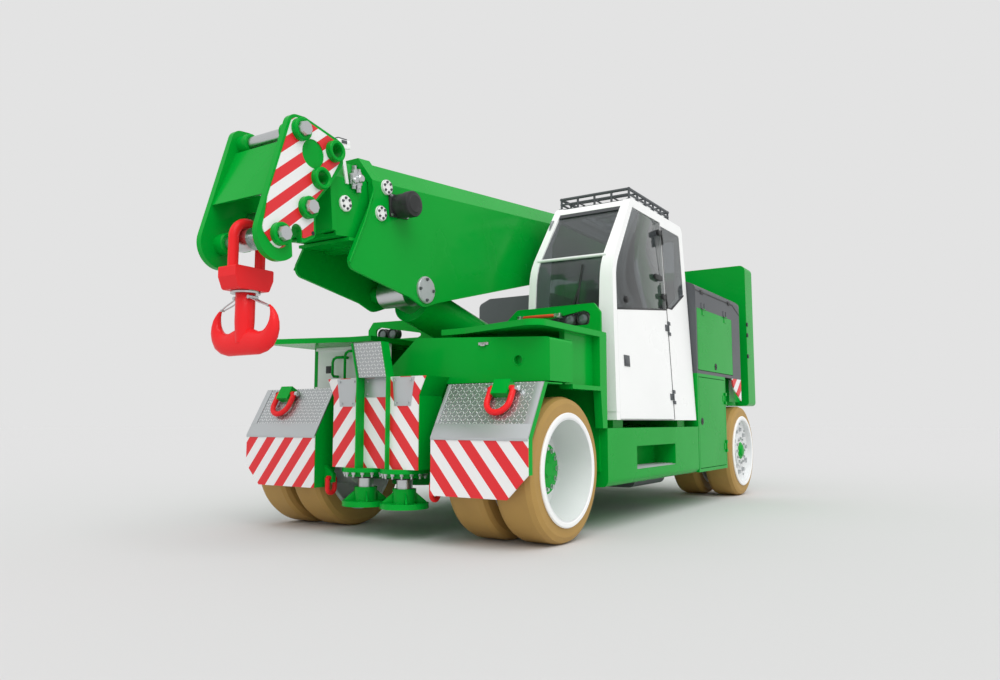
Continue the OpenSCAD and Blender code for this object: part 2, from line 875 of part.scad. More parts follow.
tank_bottom = 215;
module belly_tank() place() color(grey)
    yz(-2560, -1850)
        shape([[560, sill_z, 0], [560, tank_bottom, 60], [900, tank_bottom, 60], [900, sill_z, 0]]);

bay_wall = 30;
module engine_bay() place() color(green) {
    difference() {
        block([lower_rear, bay_in, sill_z], [body_split, body_hw, waist_z]);
        block([lower_rear + bay_wall, bay_in + bay_wall, sill_z + bay_wall],
            [body_split - bay_wall, body_hw + 1, waist_z - bay_wall]);
    }
    translate([lower_rear + bay_wall + door_gap / 2, body_hw + hinge_rise, 0])
        for (z = [540, 1020])
            translate([0, 0, z])
                hinge_fixed();
}
engine_margin = 90;
module engine_block() place() color(grey)
    block([lower_rear + bay_wall + engine_margin, bay_in + bay_wall, sill_z + bay_wall],
        [body_split - bay_wall - engine_margin, body_hw - 200, waist_z - bay_wall - engine_margin]);

module engine_door_lower() place() color(green) {
    block([lower_rear + bay_wall + door_gap, body_hw - door_t, sill_z + bay_wall + door_gap],
        [body_split - bay_wall - door_gap, body_hw, waist_z - bay_wall - door_gap]);
    translate([lower_rear + bay_wall + door_gap / 2, body_hw + hinge_rise, 0])
        for (z = [540, 1020])
            translate([0, 0, z])
                hinge_moving();
}

hood_cut = 240;
hood_fall = 80;
hatch_rear = -3740;
hatch_low = waist_z + 30;
hatch_high = 1865;
module hood_box() {
    intersection() {
        yz(hood_rear, body_split)
            shape([[hood_inner, waist_z, 0], [body_hw, waist_z, 0], [body_hw, hood_top - 60, 60],
                [body_hw - 140, hood_top, 60], [hood_inner, hood_top, 0]]);
        xz(hood_inner - 10, body_hw + 10)
            polygon([[hood_rear - 10, waist_z - 10], [body_split + 10, waist_z - 10],
                [body_split + 10, hood_top + 10], [hood_rear + hood_cut, hood_top + 10],
                [hood_rear + hood_cut, hood_top],
                [hood_rear, hood_top - hood_fall], [hood_rear - 10, hood_top - hood_fall]]);
    }
}
module hood_space() {
    block([hood_rear + bay_wall, hood_inner + bay_wall, waist_z - 1],
        [body_split - bay_wall, body_hw - bay_wall, hood_top - 150]);
}
// Hinge line along the top of the hatch: local x runs down the hatch, y outwards, z forward
module hatch_frame() {
    translate([0, body_hw + hinge_rise, hatch_high + door_gap / 2])
        rotate([0, 90, 0])
            children();
}
module hood_left() place() color(grey) {
    difference() {
        hood_box();
        hood_space();
        block([hatch_rear, body_hw - bay_wall - 1, hatch_low],
            [body_split - bay_wall, body_hw + 1, hatch_high]);
    }
    hatch_frame()
        for (x = [-3500, -2800])
            translate([0, 0, x])
                hinge_fixed();
}
module engine_door_upper() place() color(green) {
    block([hatch_rear + door_gap, body_hw - bay_wall, hatch_low + door_gap],
        [body_split - bay_wall - door_gap, body_hw, hatch_high]);
    hatch_frame()
        for (x = [-3500, -2800])
            translate([0, 0, x])
                hinge_moving();
}
module hood_right() place() color(grey)
    mirror([0, 1, 0])
        difference() {
            hood_box();
            hood_space();
        }
module tank_right() place() color(green)
    mirror([0, 1, 0])
        block([lower_rear, bay_in, sill_z], [body_split, body_hw, waist_z]);

module counterweight() place() color(green)
    yz(weight_front - weight_t, weight_front)
        shape([[-body_hw, spine_top, 40], [body_hw, spine_top, 40], [body_hw, weight_top, 60],
            [-body_hw, weight_top, 60]]);

// Boom

tail_x = -250;
tube_start = 150;
lug_r = 125;
cheek_rear = 1200;
lip_x = 4573;
lip_z = -415;
module cheek_outline() {
    shape([[cheek_rear, boom_low, 0], [2138, -391, 600], [lug_x - lug_r, lug_z - 90, 160],
        [lug_x + 20, lug_z - lug_r, 100], [lug_x + 160, lug_z - 60, 80], [lip_x, lip_z, 60],
        [base_front - 40, 110, 90], [base_front, boom_high - chamfer_h, 0],
        [cheek_rear, boom_high - chamfer_h, 0]]);
}
module boom_base() place() color(green) boom_frame() {
    difference() {
        union() {
            boom_tube(tube_start, base_front, 0, base_wall);
            boom_tube(base_front - 110, base_front, -20, 20);
            slide_pads(base_front - slide_pad_l, mid_inset, -1);
            yz(tail_x, tube_start)
                polygon(boom_section(0));
            both_sides()
                xz(boom_hw, boom_hw + cheek_t)
                    cheek_outline();
            for (x = [2700, 3350])
                bar_y(x, -400, -boom_hw, boom_hw, 90);
            block([base_front, -boom_hw, boom_low], [lip_x - 60, boom_hw, boom_low + base_wall]);
        }
        bar_y(0, 0, -boom_hw - cheek_t - 1, boom_hw + cheek_t + 1, pivot_d + 2 * run_gap);
    }
    both_sides()
        bar_y(lug_x, lug_z, eye_w / 2 + free_gap, boom_hw, lift_pin_d);
}

// Wear pad covers on the sides: [along the boom, across it, diameter]
base_pads = [[4155, 141, 100], [4225, -42, 100]];
pad_t = 14;
module boom_pads() place() color(steel) boom_frame() both_sides() {
    for (pad = base_pads)
        bar_y(pad[0], pad[1], boom_hw + cheek_t, boom_hw + cheek_t + pad_t, pad[2]);
    bar_y(lug_x, lug_z, boom_hw + cheek_t, boom_hw + cheek_t + pad_t, 190);
}
drum_x = 4047;
drum_z = 25;
module boom_drum() place() color(black) boom_frame() {
    bar_y(drum_x, drum_z, boom_hw + cheek_t, boom_hw + cheek_t + 100, 160);
    bar_y(drum_x, drum_z, boom_hw + cheek_t + 100, boom_hw + cheek_t + 116, 120);
}

mid_rear = 250;
slide_pad_l = 150;
slide_pad_hw = 90;
// Sliding pad between two sections: over the tail of the inner one or under its run-out
module slide_pads(x, inset, up) {
    z = up > 0 ? boom_high - inset : boom_low + inset - section_gap;
    block([x, -slide_pad_hw, z - (up > 0 ? 0 : 1)],
        [x + slide_pad_l, slide_pad_hw, z + section_gap - run_gap]);
}
module boom_mid() place() color(green) boom_frame() {
    boom_tube(mid_rear, mid_front, mid_inset, mid_wall);
    slide_pads(mid_rear, mid_inset, 1);
    slide_pads(mid_front - slide_pad_l, fly_inset, -1);
    both_sides()
        bar_y(4507, -9, boom_hw - mid_inset, boom_hw - mid_inset + 12, 100);
}

// Head bosses: [along the boom, across it], two jib sockets and two pins
jib_upper = [4657, 278];
jib_lower = [4788, 90];
pin_upper = [4925, 355];
pin_lower = [4900, -100];
hook_pin = [hook_x, hook_z];
head_pin_d = 76;
boss_d = 126;
boss_rise = 40;
fly_rear = 400;
head_back = mid_front + 12;
head_in = head_y - head_t;
notch = [4985, -245];
notch_d = 76;
function nose_tangent(a) = [hook_x + head_nose_r * cos(a), hook_z + head_nose_r * sin(a), 0];
module head_bores() {
    for (p = [jib_upper, jib_lower])
        translate(p)
            circle(d = jib_bore);
    for (p = [pin_upper, pin_lower, hook_pin])
        translate(p)
            circle(d = head_pin_d + 2 * run_gap);
}
module head_bosses(d) {
    for (p = [jib_upper, jib_lower, pin_upper, pin_lower, hook_pin])
        translate(p)
            circle(d = d);
}
// Notch open to below, beside the round of the hook pin
module head_notch() {
    translate(notch)
        circle(d = notch_d);
    translate([notch[0] - notch_d / 2, notch[1] - 150])
        square([notch_d, 150]);
}
module head_outline() {
    difference() {
        union() {
            shape([[jib_upper[0] - 85, jib_upper[1] + 75, 60], [pin_upper[0] - 50, pin_upper[1] + 88, 70],
                [pin_upper[0] + 66, pin_upper[1] + 88, 70], nose_tangent(22), [hook_x + 60, hook_z, 0],
                [notch[0] + 90, notch[1] - 60, 0], [notch[0] - 60, notch[1] - 60, 30],
                [notch[0] - 150, notch[1] - 20, 40], [pin_lower[0] - 75, pin_lower[1] + 40, 40],
                [jib_lower[0] - 90, jib_lower[1] - 30, 60], [jib_upper[0] - 85, jib_upper[1] - 60, 50]]);
            translate(hook_pin)
                circle(r = head_nose_r);
            head_bosses(boss_d);
        }
        head_bores();
        head_notch();
    }
}
module boom_fly() place() color(green) boom_frame() {
    both_sides()
        xz(head_in, head_y)
            head_outline();
    both_sides()
        xz(head_y, head_y + boss_rise)
            difference() {
                head_bosses(boss_d);
                head_bores();
            }
    difference() {
        union() {
            boom_tube(fly_rear, head_back, fly_inset, fly_wall);
            block([head_back, -head_in, boom_low + fly_inset],
                [head_back + head_t, head_in, boom_high - fly_inset]);
            slide_pads(fly_rear, fly_inset, 1);
        }
        for (p = [jib_upper, jib_lower])
            bar_y(p[0], p[1], -head_in - 1, head_in + 1, jib_bore + 2 * free_gap);
    }
    // front plate between the head plates
    xz(-head_in, head_in)
        polygon([[pin_upper[0] + 40, pin_upper[1] - 60], [pin_upper[0] + 65, pin_upper[1] - 60],
            [hook_x + 60, hook_z + 230], [hook_x + 35, hook_z + 230]]);
}

panel_gap = 4;
module head_panels() place() color(white) boom_frame() both_sides()
    xz(head_y, head_y + panel_t)
        difference() {
            shape([[jib_upper[0] - 55, jib_upper[1] + 60, 40], [pin_upper[0] - 45, pin_upper[1] + 70, 60],
                [pin_upper[0] + 52, pin_upper[1] + 66, 50], [hook_x + 68, hook_z + 205, 10],
                [hook_x + 90, hook_z + 110, 20], [hook_x + 120, hook_z + 20, 50],
                [hook_x, hook_z - 125, 70], [notch[0] + 50, notch[1] - 35, 10],
                [notch[0] - 60, notch[1] - 35, 20], [notch[0] - 130, notch[1] - 5, 25],
                [pin_lower[0] - 55, pin_lower[1] + 40, 30], [jib_lower[0] - 70, jib_lower[1] - 20, 50],
                [jib_upper[0] - 60, jib_upper[1] - 40, 40]]);
            head_bosses(boss_d + 2 * panel_gap);
            translate(notch)
                circle(d = notch_d + 2 * panel_gap);
            translate([notch[0] - notch_d / 2 - panel_gap, notch[1] - 150])
                square([notch_d + 2 * panel_gap, 150]);
            translate([pin_upper[0] + 15, pin_upper[1] - 165])
                circle(d = 130);
            translate([pin_upper[0] - 97, pin_upper[1] - 123])
                circle(d = 175);
        }

pin_out = head_y + boss_rise + 20;
module head_pins() place() color(steel) boom_frame() {
    for (p = [pin_upper, pin_lower, hook_pin])
        bar_y(p[0], p[1], -pin_out, pin_out, head_pin_d);
    bar_y(hook_x, hook_z, -60, 60, 2 * saddle_r);
}

// Hook, hanging straight down from its pin
hook_point = boom_point(hook_x, hook_z);
module hook_frame() {
    translate([hook_point[0], 0, hook_point[1]])
        children();
}
bow_r = saddle_r + run_gap + bow_bar / 2;
block_h = 130;
block_top_x = bow_r + bow_bar / 2 + 10;
module hook_bow() place() color(red) hook_frame() {
    rotate([90, 0, 0])
        rotate_extrude(angle = 180)
            translate([bow_r, 0])
                circle(d = bow_bar);
    for (end = [-1, 1])
        translate([end * bow_r, 0, -bow_drop + block_h / 2])
            cylinder(d = bow_bar, h = bow_drop - block_h / 2);
    xz(-75, 75)
        shape([[-block_top_x, -bow_drop + block_h, 10], [-block_top_x, -bow_drop + 70, 20],
            [-block_top_x + 30, -bow_drop, 20], [block_top_x - 30, -bow_drop, 20],
            [block_top_x, -bow_drop + 70, 20], [block_top_x, -bow_drop + block_h, 10]]);
}
horn_y = 130;
horn_z = -hook_drop + horn_r;
throat_z = horn_z + 65;
tip_z = throat_z + 50;
shank_d = 112;
module hook_horns() place() color(red) hook_frame() {
    translate([0, 0, horn_z])
        cylinder(d = shank_d, h = -bow_drop - run_gap - horn_z);
    yz(-horn_t / 2, horn_t / 2)
        difference() {
            union() {
                for (side = [-1, 1])
                    translate([side * horn_y, horn_z])
                        circle(r = horn_r);
                translate([-horn_y, -hook_drop])
                    square([2 * horn_y, horn_r]);
            }
            for (side = [-1, 1])
                translate([side * horn_y, throat_z])
                    circle(r = throat_r);
            translate([-horn_y - horn_r, tip_z])
                square([2 * (horn_y + horn_r), horn_r]);
        }
}

// Lift cylinder

barrel_start = 150;
barrel_end = lift_length - 160;
eye_d = 210;
rod_start = 170;
module lift_barrel() place() color(green) lift_frame() difference() {
    union() {
        bar_y(0, 0, -eye_w / 2, eye_w / 2, eye_d);
        block([0, -eye_w / 2, -eye_d / 2 + 10], [barrel_start, eye_w / 2, eye_d / 2 - 10]);
        bar_x(0, 0, barrel_start - 30, barrel_end, barrel_d);
    }
    bar_y(0, 0, -eye_w / 2 - 1, eye_w / 2 + 1, lift_pin_d + 2 * run_gap);
    bar_x(0, 0, rod_start - 10, barrel_end + 1, lift_rod_d + 2 * run_gap);
}
module lift_rod() place() color(steel) lift_frame() difference() {
    union() {
        bar_x(0, 0, rod_start, lift_length, lift_rod_d);
        bar_y(lift_length, 0, -eye_w / 2, eye_w / 2, eye_d);
    }
    bar_y(lift_length, 0, -eye_w / 2 - 1, eye_w / 2 + 1, lift_pin_d + 2 * run_gap);
}

// Jacks

foot_t = 36;
socket_d = 160;
socket_h = 130;
jack_rod_l = 620;
module jack_foot(y) {
    translate([jack_x, y, jack_foot_z]) {
        cylinder(d = jack_foot_d, h = foot_t);
        cylinder(d = socket_d, h = socket_h);
    }
}
module jack_rod(y) {
    translate([jack_x, y, jack_foot_z + socket_h])
        cylinder(d = jack_rod_d, h = jack_rod_l - socket_h);
}
module jack_left() place() color(green)
    jack_foot(jack_y);
module jack_right() place() color(green)
    jack_foot(-jack_y);
module jack_rod_left() place() color(steel)
    jack_rod(jack_y);
module jack_rod_right() place() color(steel)
    jack_rod(-jack_y);

// Wheels

module wheel_frame(x, side) {
    translate([x, 0, axle_z])
        mirror([0, side < 0 ? 1 : 0, 0])
            translate([0, half_track, 0])
                rotate([-90, 0, 0])
                    children();
}
// Tyre pair: the local z axis points away from the machine
module tyre_pair() {
    for (end = [-1, 1])
        translate([0, 0, end * tyre_y])
            rotate_extrude()
                polygon([[rim_d / 2, -tyre_w / 2], [tyre_d / 2 - tyre_shoulder, -tyre_w / 2],
                    [tyre_d / 2 - tyre_shoulder * 0.3, -tyre_w / 2 + tyre_shoulder * 0.3],
                    [tyre_d / 2, -tyre_w / 2 + tyre_shoulder], [tyre_d / 2, tyre_w / 2 - tyre_shoulder],
                    [tyre_d / 2 - tyre_shoulder * 0.3, tyre_w / 2 - tyre_shoulder * 0.3],
                    [tyre_d / 2 - tyre_shoulder, tyre_w / 2], [rim_d / 2, tyre_w / 2]]);
}
disc_t = 24;
module rim_ring(z0, z1) {
    translate([0, 0, z0])
        difference() {
            cylinder(d = rim_d, h = z1 - z0);
            translate([0, 0, -1])
                cylinder(d = rim_d - 2 * rim_wall, h = z1 - z0 + 2);
        }
}
module disc(z, bore) {
    translate([0, 0, z])
        difference() {
            cylinder(d = rim_d - rim_wall, h = disc_t);
            translate([0, 0, -1])
                cylinder(d = bore, h = disc_t + 2);
        }
}
inner_face = -pair_w / 2;
outer_face = pair_w / 2;
hub_back = 165;
module front_rims() {
    rim_ring(inner_face, -twin_gap / 2);
    rim_ring(twin_gap / 2, outer_face + rim_lip);
    disc(-twin_gap / 2 - disc_t, hub_d - 20);
    disc(twin_gap / 2, hub_d - 20);
    difference() {
        translate([0, 0, inner_face])
            cylinder(d = hub_d, h = outer_face - inner_face - hub_back);
        translate([0, 0, inner_face - 1])
            cylinder(d = spindle_d + 2 * run_gap, h = half_track + tyre_w / 2 - spindle_root);
    }
}
leg_t = 50;
module rear_rim(z0, z1, disc_z, hub0, hub1) {
    difference() {
        union() {
            rim_ring(z0, z1);
            disc(disc_z, hub_d - 20);
            translate([0, 0, hub0])
                cylinder(d = hub_d, h = hub1 - hub0);
        }
        translate([0, 0, inner_face + 30])
            cylinder(d = spindle_d + 2 * run_gap, h = outer_face - inner_face - 90);
    }
}
module rear_rims() {
    rear_rim(inner_face, -twin_gap / 2, inner_face + 60, inner_face, -leg_t / 2 - free_gap);
    rear_rim(twin_gap / 2, outer_face + rim_lip, outer_face - 60, leg_t / 2 + free_gap, outer_face - 20);
}
module tyres_front_left() place() color(tan_rubber)
    wheel_frame(0, 1)
        tyre_pair();
module tyres_front_right() place() color(tan_rubber)
    wheel_frame(0, -1)
        tyre_pair();
module tyres_rear_left() place() color(tan_rubber)
    wheel_frame(rear_x, 1)
        tyre_pair();
module tyres_rear_right() place() color(tan_rubber)
    wheel_frame(rear_x, -1)
        tyre_pair();
module rims_front_left() place() color(white)
    wheel_frame(0, 1)
        front_rims();
module rims_front_right() place() color(white)
    wheel_frame(0, -1)
        front_rims();
module rims_rear_left() place() color(white)
    wheel_frame(rear_x, 1)
        rear_rims();
module rims_rear_right() place() color(white)
    wheel_frame(rear_x, -1)
        rear_rims();

// Steered knuckle: turntable over the pair, leg between the tyres, spindle
module knuckle() {
    translate([rear_x, half_track, 0]) {
        translate([0, 0, table_z])
            cylinder(d = ring_d, h = table_t);
        xz(-leg_t / 2, leg_t / 2) {
            polygon([[-230, table_z], [230, table_z], [130, axle_z], [-130, axle_z]]);
            translate([0, axle_z])
                circle(r = 130);
        }
        bar_y(0, axle_z, inner_face + 34, outer_face - 66, spindle_d);
    }
}
module knuckle_left() place() color(green)
    knuckle();
module knuckle_right() place() color(green)
    mirror([0, 1, 0])
        knuckle();

// Red shackles: a lug and a hanging bow, the bow in the plane of local x and y
shackle_bar = 40;
lug_hw = 60;
lug_h = 56;
lug_pin_x = 60;
shackle_r = lug_hw + 4 + shackle_bar / 2;
shackle_y = 980;
slope_angle = atan2(fender_top - fender_bend, fender_front - fender_back);
// Local x runs down the sloping cover and z stands on it
module slope_frame() {
    translate([fender_back + tread_t, shackle_y, fender_top])
        rotate([0, slope_angle, 0])
            children();
}
module shackle_lug() {
    difference() {
        block([8, -lug_hw, 0], [112, lug_hw, lug_h]);
        bar_y(lug_pin_x, lug_h / 2, -lug_hw - 1, lug_hw + 1, shackle_bar + 2 * run_gap);
    }
}
module shackle_bow(drop) {
    translate([lug_pin_x, 0, lug_h / 2]) {
        bar_y(0, 0, -shackle_r, shackle_r, shackle_bar);
        for (side = [-1, 1])
            bar_x(side * shackle_r, 0, 0, drop, shackle_bar);
        translate([drop, 0, 0])
            rotate([0, 0, -90])
                rotate_extrude(angle = 180)
                    translate([shackle_r, 0])
                        circle(d = shackle_bar);
    }
}
// Lower shackles hang from lugs on the inner sides of the wings
low_lug_x = 430;
low_lug_t = 30;
low_lug_y = 470;
low_lug_z = 385;
low_bar = 34;
low_r = low_lug_t / 2 + 4 + low_bar / 2;
module low_lug() {
    difference() {
        yz(low_lug_x - low_lug_t / 2, low_lug_x + low_lug_t / 2)
            polygon([[fender_in, low_lug_z - 40], [fender_in, low_lug_z + 90],
                [low_lug_y - 30, low_lug_z + 30], [low_lug_y - 30, low_lug_z - 30]]);
        bar_x(low_lug_y, low_lug_z, low_lug_x - low_lug_t, low_lug_x + low_lug_t, low_bar + 2 * run_gap);
    }
}
module tow_shackles() place() color(red) both_sides() {
    slope_frame()
        shackle_bow(90);
    translate([low_lug_x, low_lug_y, low_lug_z]) {
        bar_x(0, 0, -low_r, low_r, low_bar);
        for (side = [-1, 1])
            translate([side * low_r, 0, -70])
                cylinder(d = low_bar, h = 70);
        translate([0, 0, -70])
            rotate([-90, 0, 0])
                rotate_extrude(angle = 180)
                    translate([low_r, 0])
                        circle(d = low_bar);
    }
}

module lamps() place() color(black) {
    both_sides()
        for (y = [lamp_y - lamp_half, lamp_y + lamp_half]) {
            bar_x(y, lamp_z, screen_x - 70, screen_x, lamp_d);
            block([screen_x - 50, y - 15, deck_top], [screen_x - 20, y + 15, lamp_z]);
        }
    both_sides()
        yz(reach_rear, spine_rear)
            shape([[body_hw - 290, 1120, 20], [body_hw - 130, 1120, 20], [body_hw - 130, 1420, 20],
                [body_hw - 290, 1420, 20]]);
}

chassis_frame();
boom_tower();
front_axle();
rear_axle();
nose_box();
tread_plates();
warning_panels();
fender_left();
fender_right();
front_locker();
deck_left();
deck_right();
cab_sides();
cab_ends();
cab_floor_roof();
cab_glass();
operator_seat();
steering_console();
roof_guard();
door_panel();
door_glass();
sill_left();
sill_right();
belly_tank();
engine_bay();
engine_block();
engine_door_lower();
engine_door_upper();
hood_left();
hood_right();
tank_right();
counterweight();
boom_base();
boom_pads();
boom_drum();
boom_mid();
boom_fly();
head_panels();
head_pins();
hook_bow();
hook_horns();
lift_barrel();
lift_rod();
jack_left();
jack_right();
jack_rod_left();
jack_rod_right();
tyres_front_left();
tyres_front_right();
tyres_rear_left();
tyres_rear_right();
rims_front_left();
rims_front_right();
rims_rear_left();
rims_rear_right();
knuckle_left();
knuckle_right();
tow_shackles();
lamps();
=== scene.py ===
"""Studio scene of a pick and carry crane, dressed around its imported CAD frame."""

import logging
import math
from collections.abc import Callable, Iterable
from dataclasses import dataclass
from enum import Enum
from functools import cached_property

import bmesh
import bpy
from mathutils import Euler, Matrix, Vector


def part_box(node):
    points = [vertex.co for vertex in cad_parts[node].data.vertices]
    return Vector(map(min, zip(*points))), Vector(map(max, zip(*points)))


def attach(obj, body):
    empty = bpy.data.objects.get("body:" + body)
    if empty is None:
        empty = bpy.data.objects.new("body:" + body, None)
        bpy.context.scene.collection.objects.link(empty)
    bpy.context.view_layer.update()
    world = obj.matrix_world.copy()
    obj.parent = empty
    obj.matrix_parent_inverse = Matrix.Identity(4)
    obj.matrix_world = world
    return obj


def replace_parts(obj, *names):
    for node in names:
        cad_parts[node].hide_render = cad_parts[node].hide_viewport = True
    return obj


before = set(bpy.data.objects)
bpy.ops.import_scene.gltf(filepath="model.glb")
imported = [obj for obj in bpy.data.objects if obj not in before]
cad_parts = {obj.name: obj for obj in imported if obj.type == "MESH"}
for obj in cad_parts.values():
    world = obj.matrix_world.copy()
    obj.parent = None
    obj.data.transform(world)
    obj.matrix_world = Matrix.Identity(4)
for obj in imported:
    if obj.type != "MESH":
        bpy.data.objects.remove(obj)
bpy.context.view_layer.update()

log = logging.getLogger("crane")
logging.basicConfig(level=logging.INFO, format="%(name)s: %(message)s")

MM = 0.001
AHEAD, LEFT, UP = Vector((1.0, 0.0, 0.0)), Vector((0.0, 1.0, 0.0)), Vector((0.0, 0.0, 1.0))
SIDES, LEFT_RIGHT = (1, -1), ((1, "left"), (-1, "right"))
FRONT_AXLE_X = sum(corner.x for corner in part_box("tyres_front_left")) / 2
REAR_AXLE_X = -4040.0
PIVOT_X, PIVOT_Z, BOOM_DIP = -3450.0, 2600.0, math.radians(5.5)
CAB_FOOT_Y, CAB_FOOT_Z, CAB_LEAN = 1222.0, 800.0, math.atan2(100.0, 1840.0)

Pair = tuple[float, float]
Point = tuple[float, float, float]
Line = tuple[Pair, ...]
Profile = list[Pair]
Place = Callable[[float, float, float], Vector]
Socket = bpy.types.NodeSocket


def at(x: float, y: float, z: float) -> Vector:
    """Returns the point x ahead of the front axle, y left of the middle and z over the ground, in mm."""
    return Vector((FRONT_AXLE_X + x * MM, y * MM, z * MM))


def boom(x: float, y: float, z: float) -> Vector:
    """Returns the point x along the lowered boom from its pivot, y to the left and z across it, in mm."""
    along, up = math.cos(BOOM_DIP), math.sin(BOOM_DIP)
    return at(PIVOT_X + x * along + z * up, y, PIVOT_Z - x * up + z * along)


def cab_side(x: float, out: float, up: float) -> Vector:
    """Returns the point at x, out from the door's leaning face and up it from the cab's foot, in mm."""
    lean, rise = math.sin(CAB_LEAN), math.cos(CAB_LEAN)
    return at(x, CAB_FOOT_Y + out * rise - up * lean, CAB_FOOT_Z + out * lean + up * rise)


CAB_OUT = (cab_side(0, 1, 0) - cab_side(0, 0, 0)).normalized()


def ring_points(count: int, radius_mm: float, origin: Vector, axis: Vector) -> list[Vector]:
    """Returns a number of points spread evenly on a circle square to the axis."""
    out = axis.orthogonal().normalized() * radius_mm * MM
    return [origin + Matrix.Rotation(math.tau * (i + 0.5) / count, 3, axis) @ out for i in range(count)]


def linear(hex_colour: str) -> tuple[float, float, float, float]:
    """Turns an sRGB hex colour into linear RGBA.

    Args:
        hex_colour: Colour such as "#10a33c".

    Returns:
        The linear colour with full alpha.
    """
    channels = [int(hex_colour[i:i + 2], 16) / 255 for i in (1, 3, 5)]
    values = [c / 12.92 if c <= 0.04045 else ((c + 0.055) / 1.055) ** 2.4 for c in channels]
    return (*values, 1.0)


def add_node(tree: bpy.types.NodeTree, kind: str, settings: dict | None = None,
             links: dict | None = None) -> bpy.types.Node:
    """Adds a shader node with its settings and incoming links.

    Args:
        tree: Node tree that takes the node.
        kind: Blender's type name of the node.
        settings: Attribute or socket values by name; an integer key is an input's index.
        links: Output sockets by the input's name or index.

    Returns:
        The new node.
    """
    node = tree.nodes.new(kind)
    for key, value in (settings or {}).items():
        if isinstance(key, str) and hasattr(node, key):
            setattr(node, key, value)
        else:
            node.inputs[key].default_value = value
    for key, socket in (links or {}).items():
        tree.links.new(socket, node.inputs[key])
    return node


class Graph:
    """Nodes of one material, with short forms for those that the finishes share."""

    def __init__(self, material: bpy.types.Material) -> None:
        """Finds the node tree of a material and its surface shader."""
        self.tree = material.node_tree
        self.shader = self.tree.nodes["Principled BSDF"]

    @cached_property
    def place(self) -> Socket:
        """Returns the object's own coordinates."""
        return add_node(self.tree, "ShaderNodeTexCoord").outputs["Object"]

    def values(self, settings: dict[str, object]) -> None:
        """Sets inputs of the surface shader by their names."""
        for name, value in settings.items():
            self.shader.inputs[name].default_value = value

    def feed(self, name: str, socket: Socket) -> None:
        """Links a socket to a named input of the surface shader."""
        self.tree.links.new(socket, self.shader.inputs[name])

    def axes(self) -> bpy.types.NodeOutputs:
        """Returns the object's coordinates as three sockets."""
        return add_node(self.tree, "ShaderNodeSeparateXYZ", None, {0: self.place}).outputs

    def noise(self, width_mm: float, detail: float = 2.0) -> Socket:
        """Returns soft noise with patches of a width and a number of finer layers."""
        settings = {"Scale": 1 / (width_mm * MM), "Detail": detail}
        return add_node(self.tree, "ShaderNodeTexNoise", settings, {"Vector": self.place}).outputs["Fac"]

    def cells(self, width_mm: float) -> Socket:
        """Returns a grain of cells of a width, as the distance from the cell's middle."""
        settings = {"Scale": 1 / (width_mm * MM)}
        return add_node(self.tree, "ShaderNodeTexVoronoi", settings, {"Vector": self.place}).outputs["Distance"]

    def calc(self, operation: str, *terms: Socket | float) -> Socket:
        """Adds one step of arithmetic.

        Args:
            operation: Blender's name of the step.
            terms: Sockets or constants in order.

        Returns:
            The result.
        """
        settings = {i: term for i, term in enumerate(terms) if isinstance(term, float)}
        links = {i: term for i, term in enumerate(terms) if i not in settings}
        return add_node(self.tree, "ShaderNodeMath", {"operation": operation, **settings}, links).outputs[0]

    def spread(self, value: Socket, given: Pair, wanted: Pair,
               kind: str = "LINEAR") -> Socket:
        """Returns a value mapped from the range that it has to the wanted one."""
        settings = {"interpolation_type": kind, 1: given[0], 2: given[1], 3: wanted[0], 4: wanted[1]}
        return add_node(self.tree, "ShaderNodeMapRange", settings, {0: value}).outputs[0]

    def tint(self, share: Socket, first: str, second: str) -> None:
        """Mixes the surface's colour from two hex colours by the share of the second."""
        settings = {"data_type": "RGBA", 6: linear(first), 7: linear(second)}
        self.feed("Base Color", add_node(self.tree, "ShaderNodeMix", settings, {0: share}).outputs[2])

    def bump(self, height: Socket, strength: float, depth_mm: float) -> None:
        """Gives the surface a relief from a height of 0 to 1."""
        settings = {"Strength": strength, "Distance": depth_mm * MM}
        self.feed("Normal", add_node(self.tree, "ShaderNodeBump", settings, {"Height": height}).outputs["Normal"])


class Slot(str, Enum):
    """Material slots of the record, as names that the finishes carry."""

    GREEN = "green_paint"
    WHITE = "white_paint"
    STEEL = "bare_steel"
    BLACK = "black_plastic"
    GREY = "grey_paint"
    RED = "red_paint"
    TYRE = "solid_tyre"
    GLASS = "tinted_glass"


@dataclass(frozen=True)
class Finish:
    """A surface with its colour and gloss; subclasses add the pattern that the eye sees.

    Attributes:
        name: Name of the material.
        slot: Slot of the record; not used.
        colour: Main colour as sRGB hex.
        roughness: Mean roughness.
    """

    name: str
    slot: Slot
    colour: str
    roughness: float

    def material(self) -> bpy.types.Material:
        """Returns the material, made on first use."""
        made = bpy.data.materials.get(self.name)
        if made is None:
            made = bpy.data.materials.new(self.name)
            made.use_nodes = True
            graph = Graph(made)
            graph.values({"Base Color": linear(self.colour), "Roughness": self.roughness})
            self.dress(graph)
        return made

    def dress(self, graph: Graph) -> None:
        """Adds what is particular to the finish.

        Args:
            graph: Nodes of the material.
        """


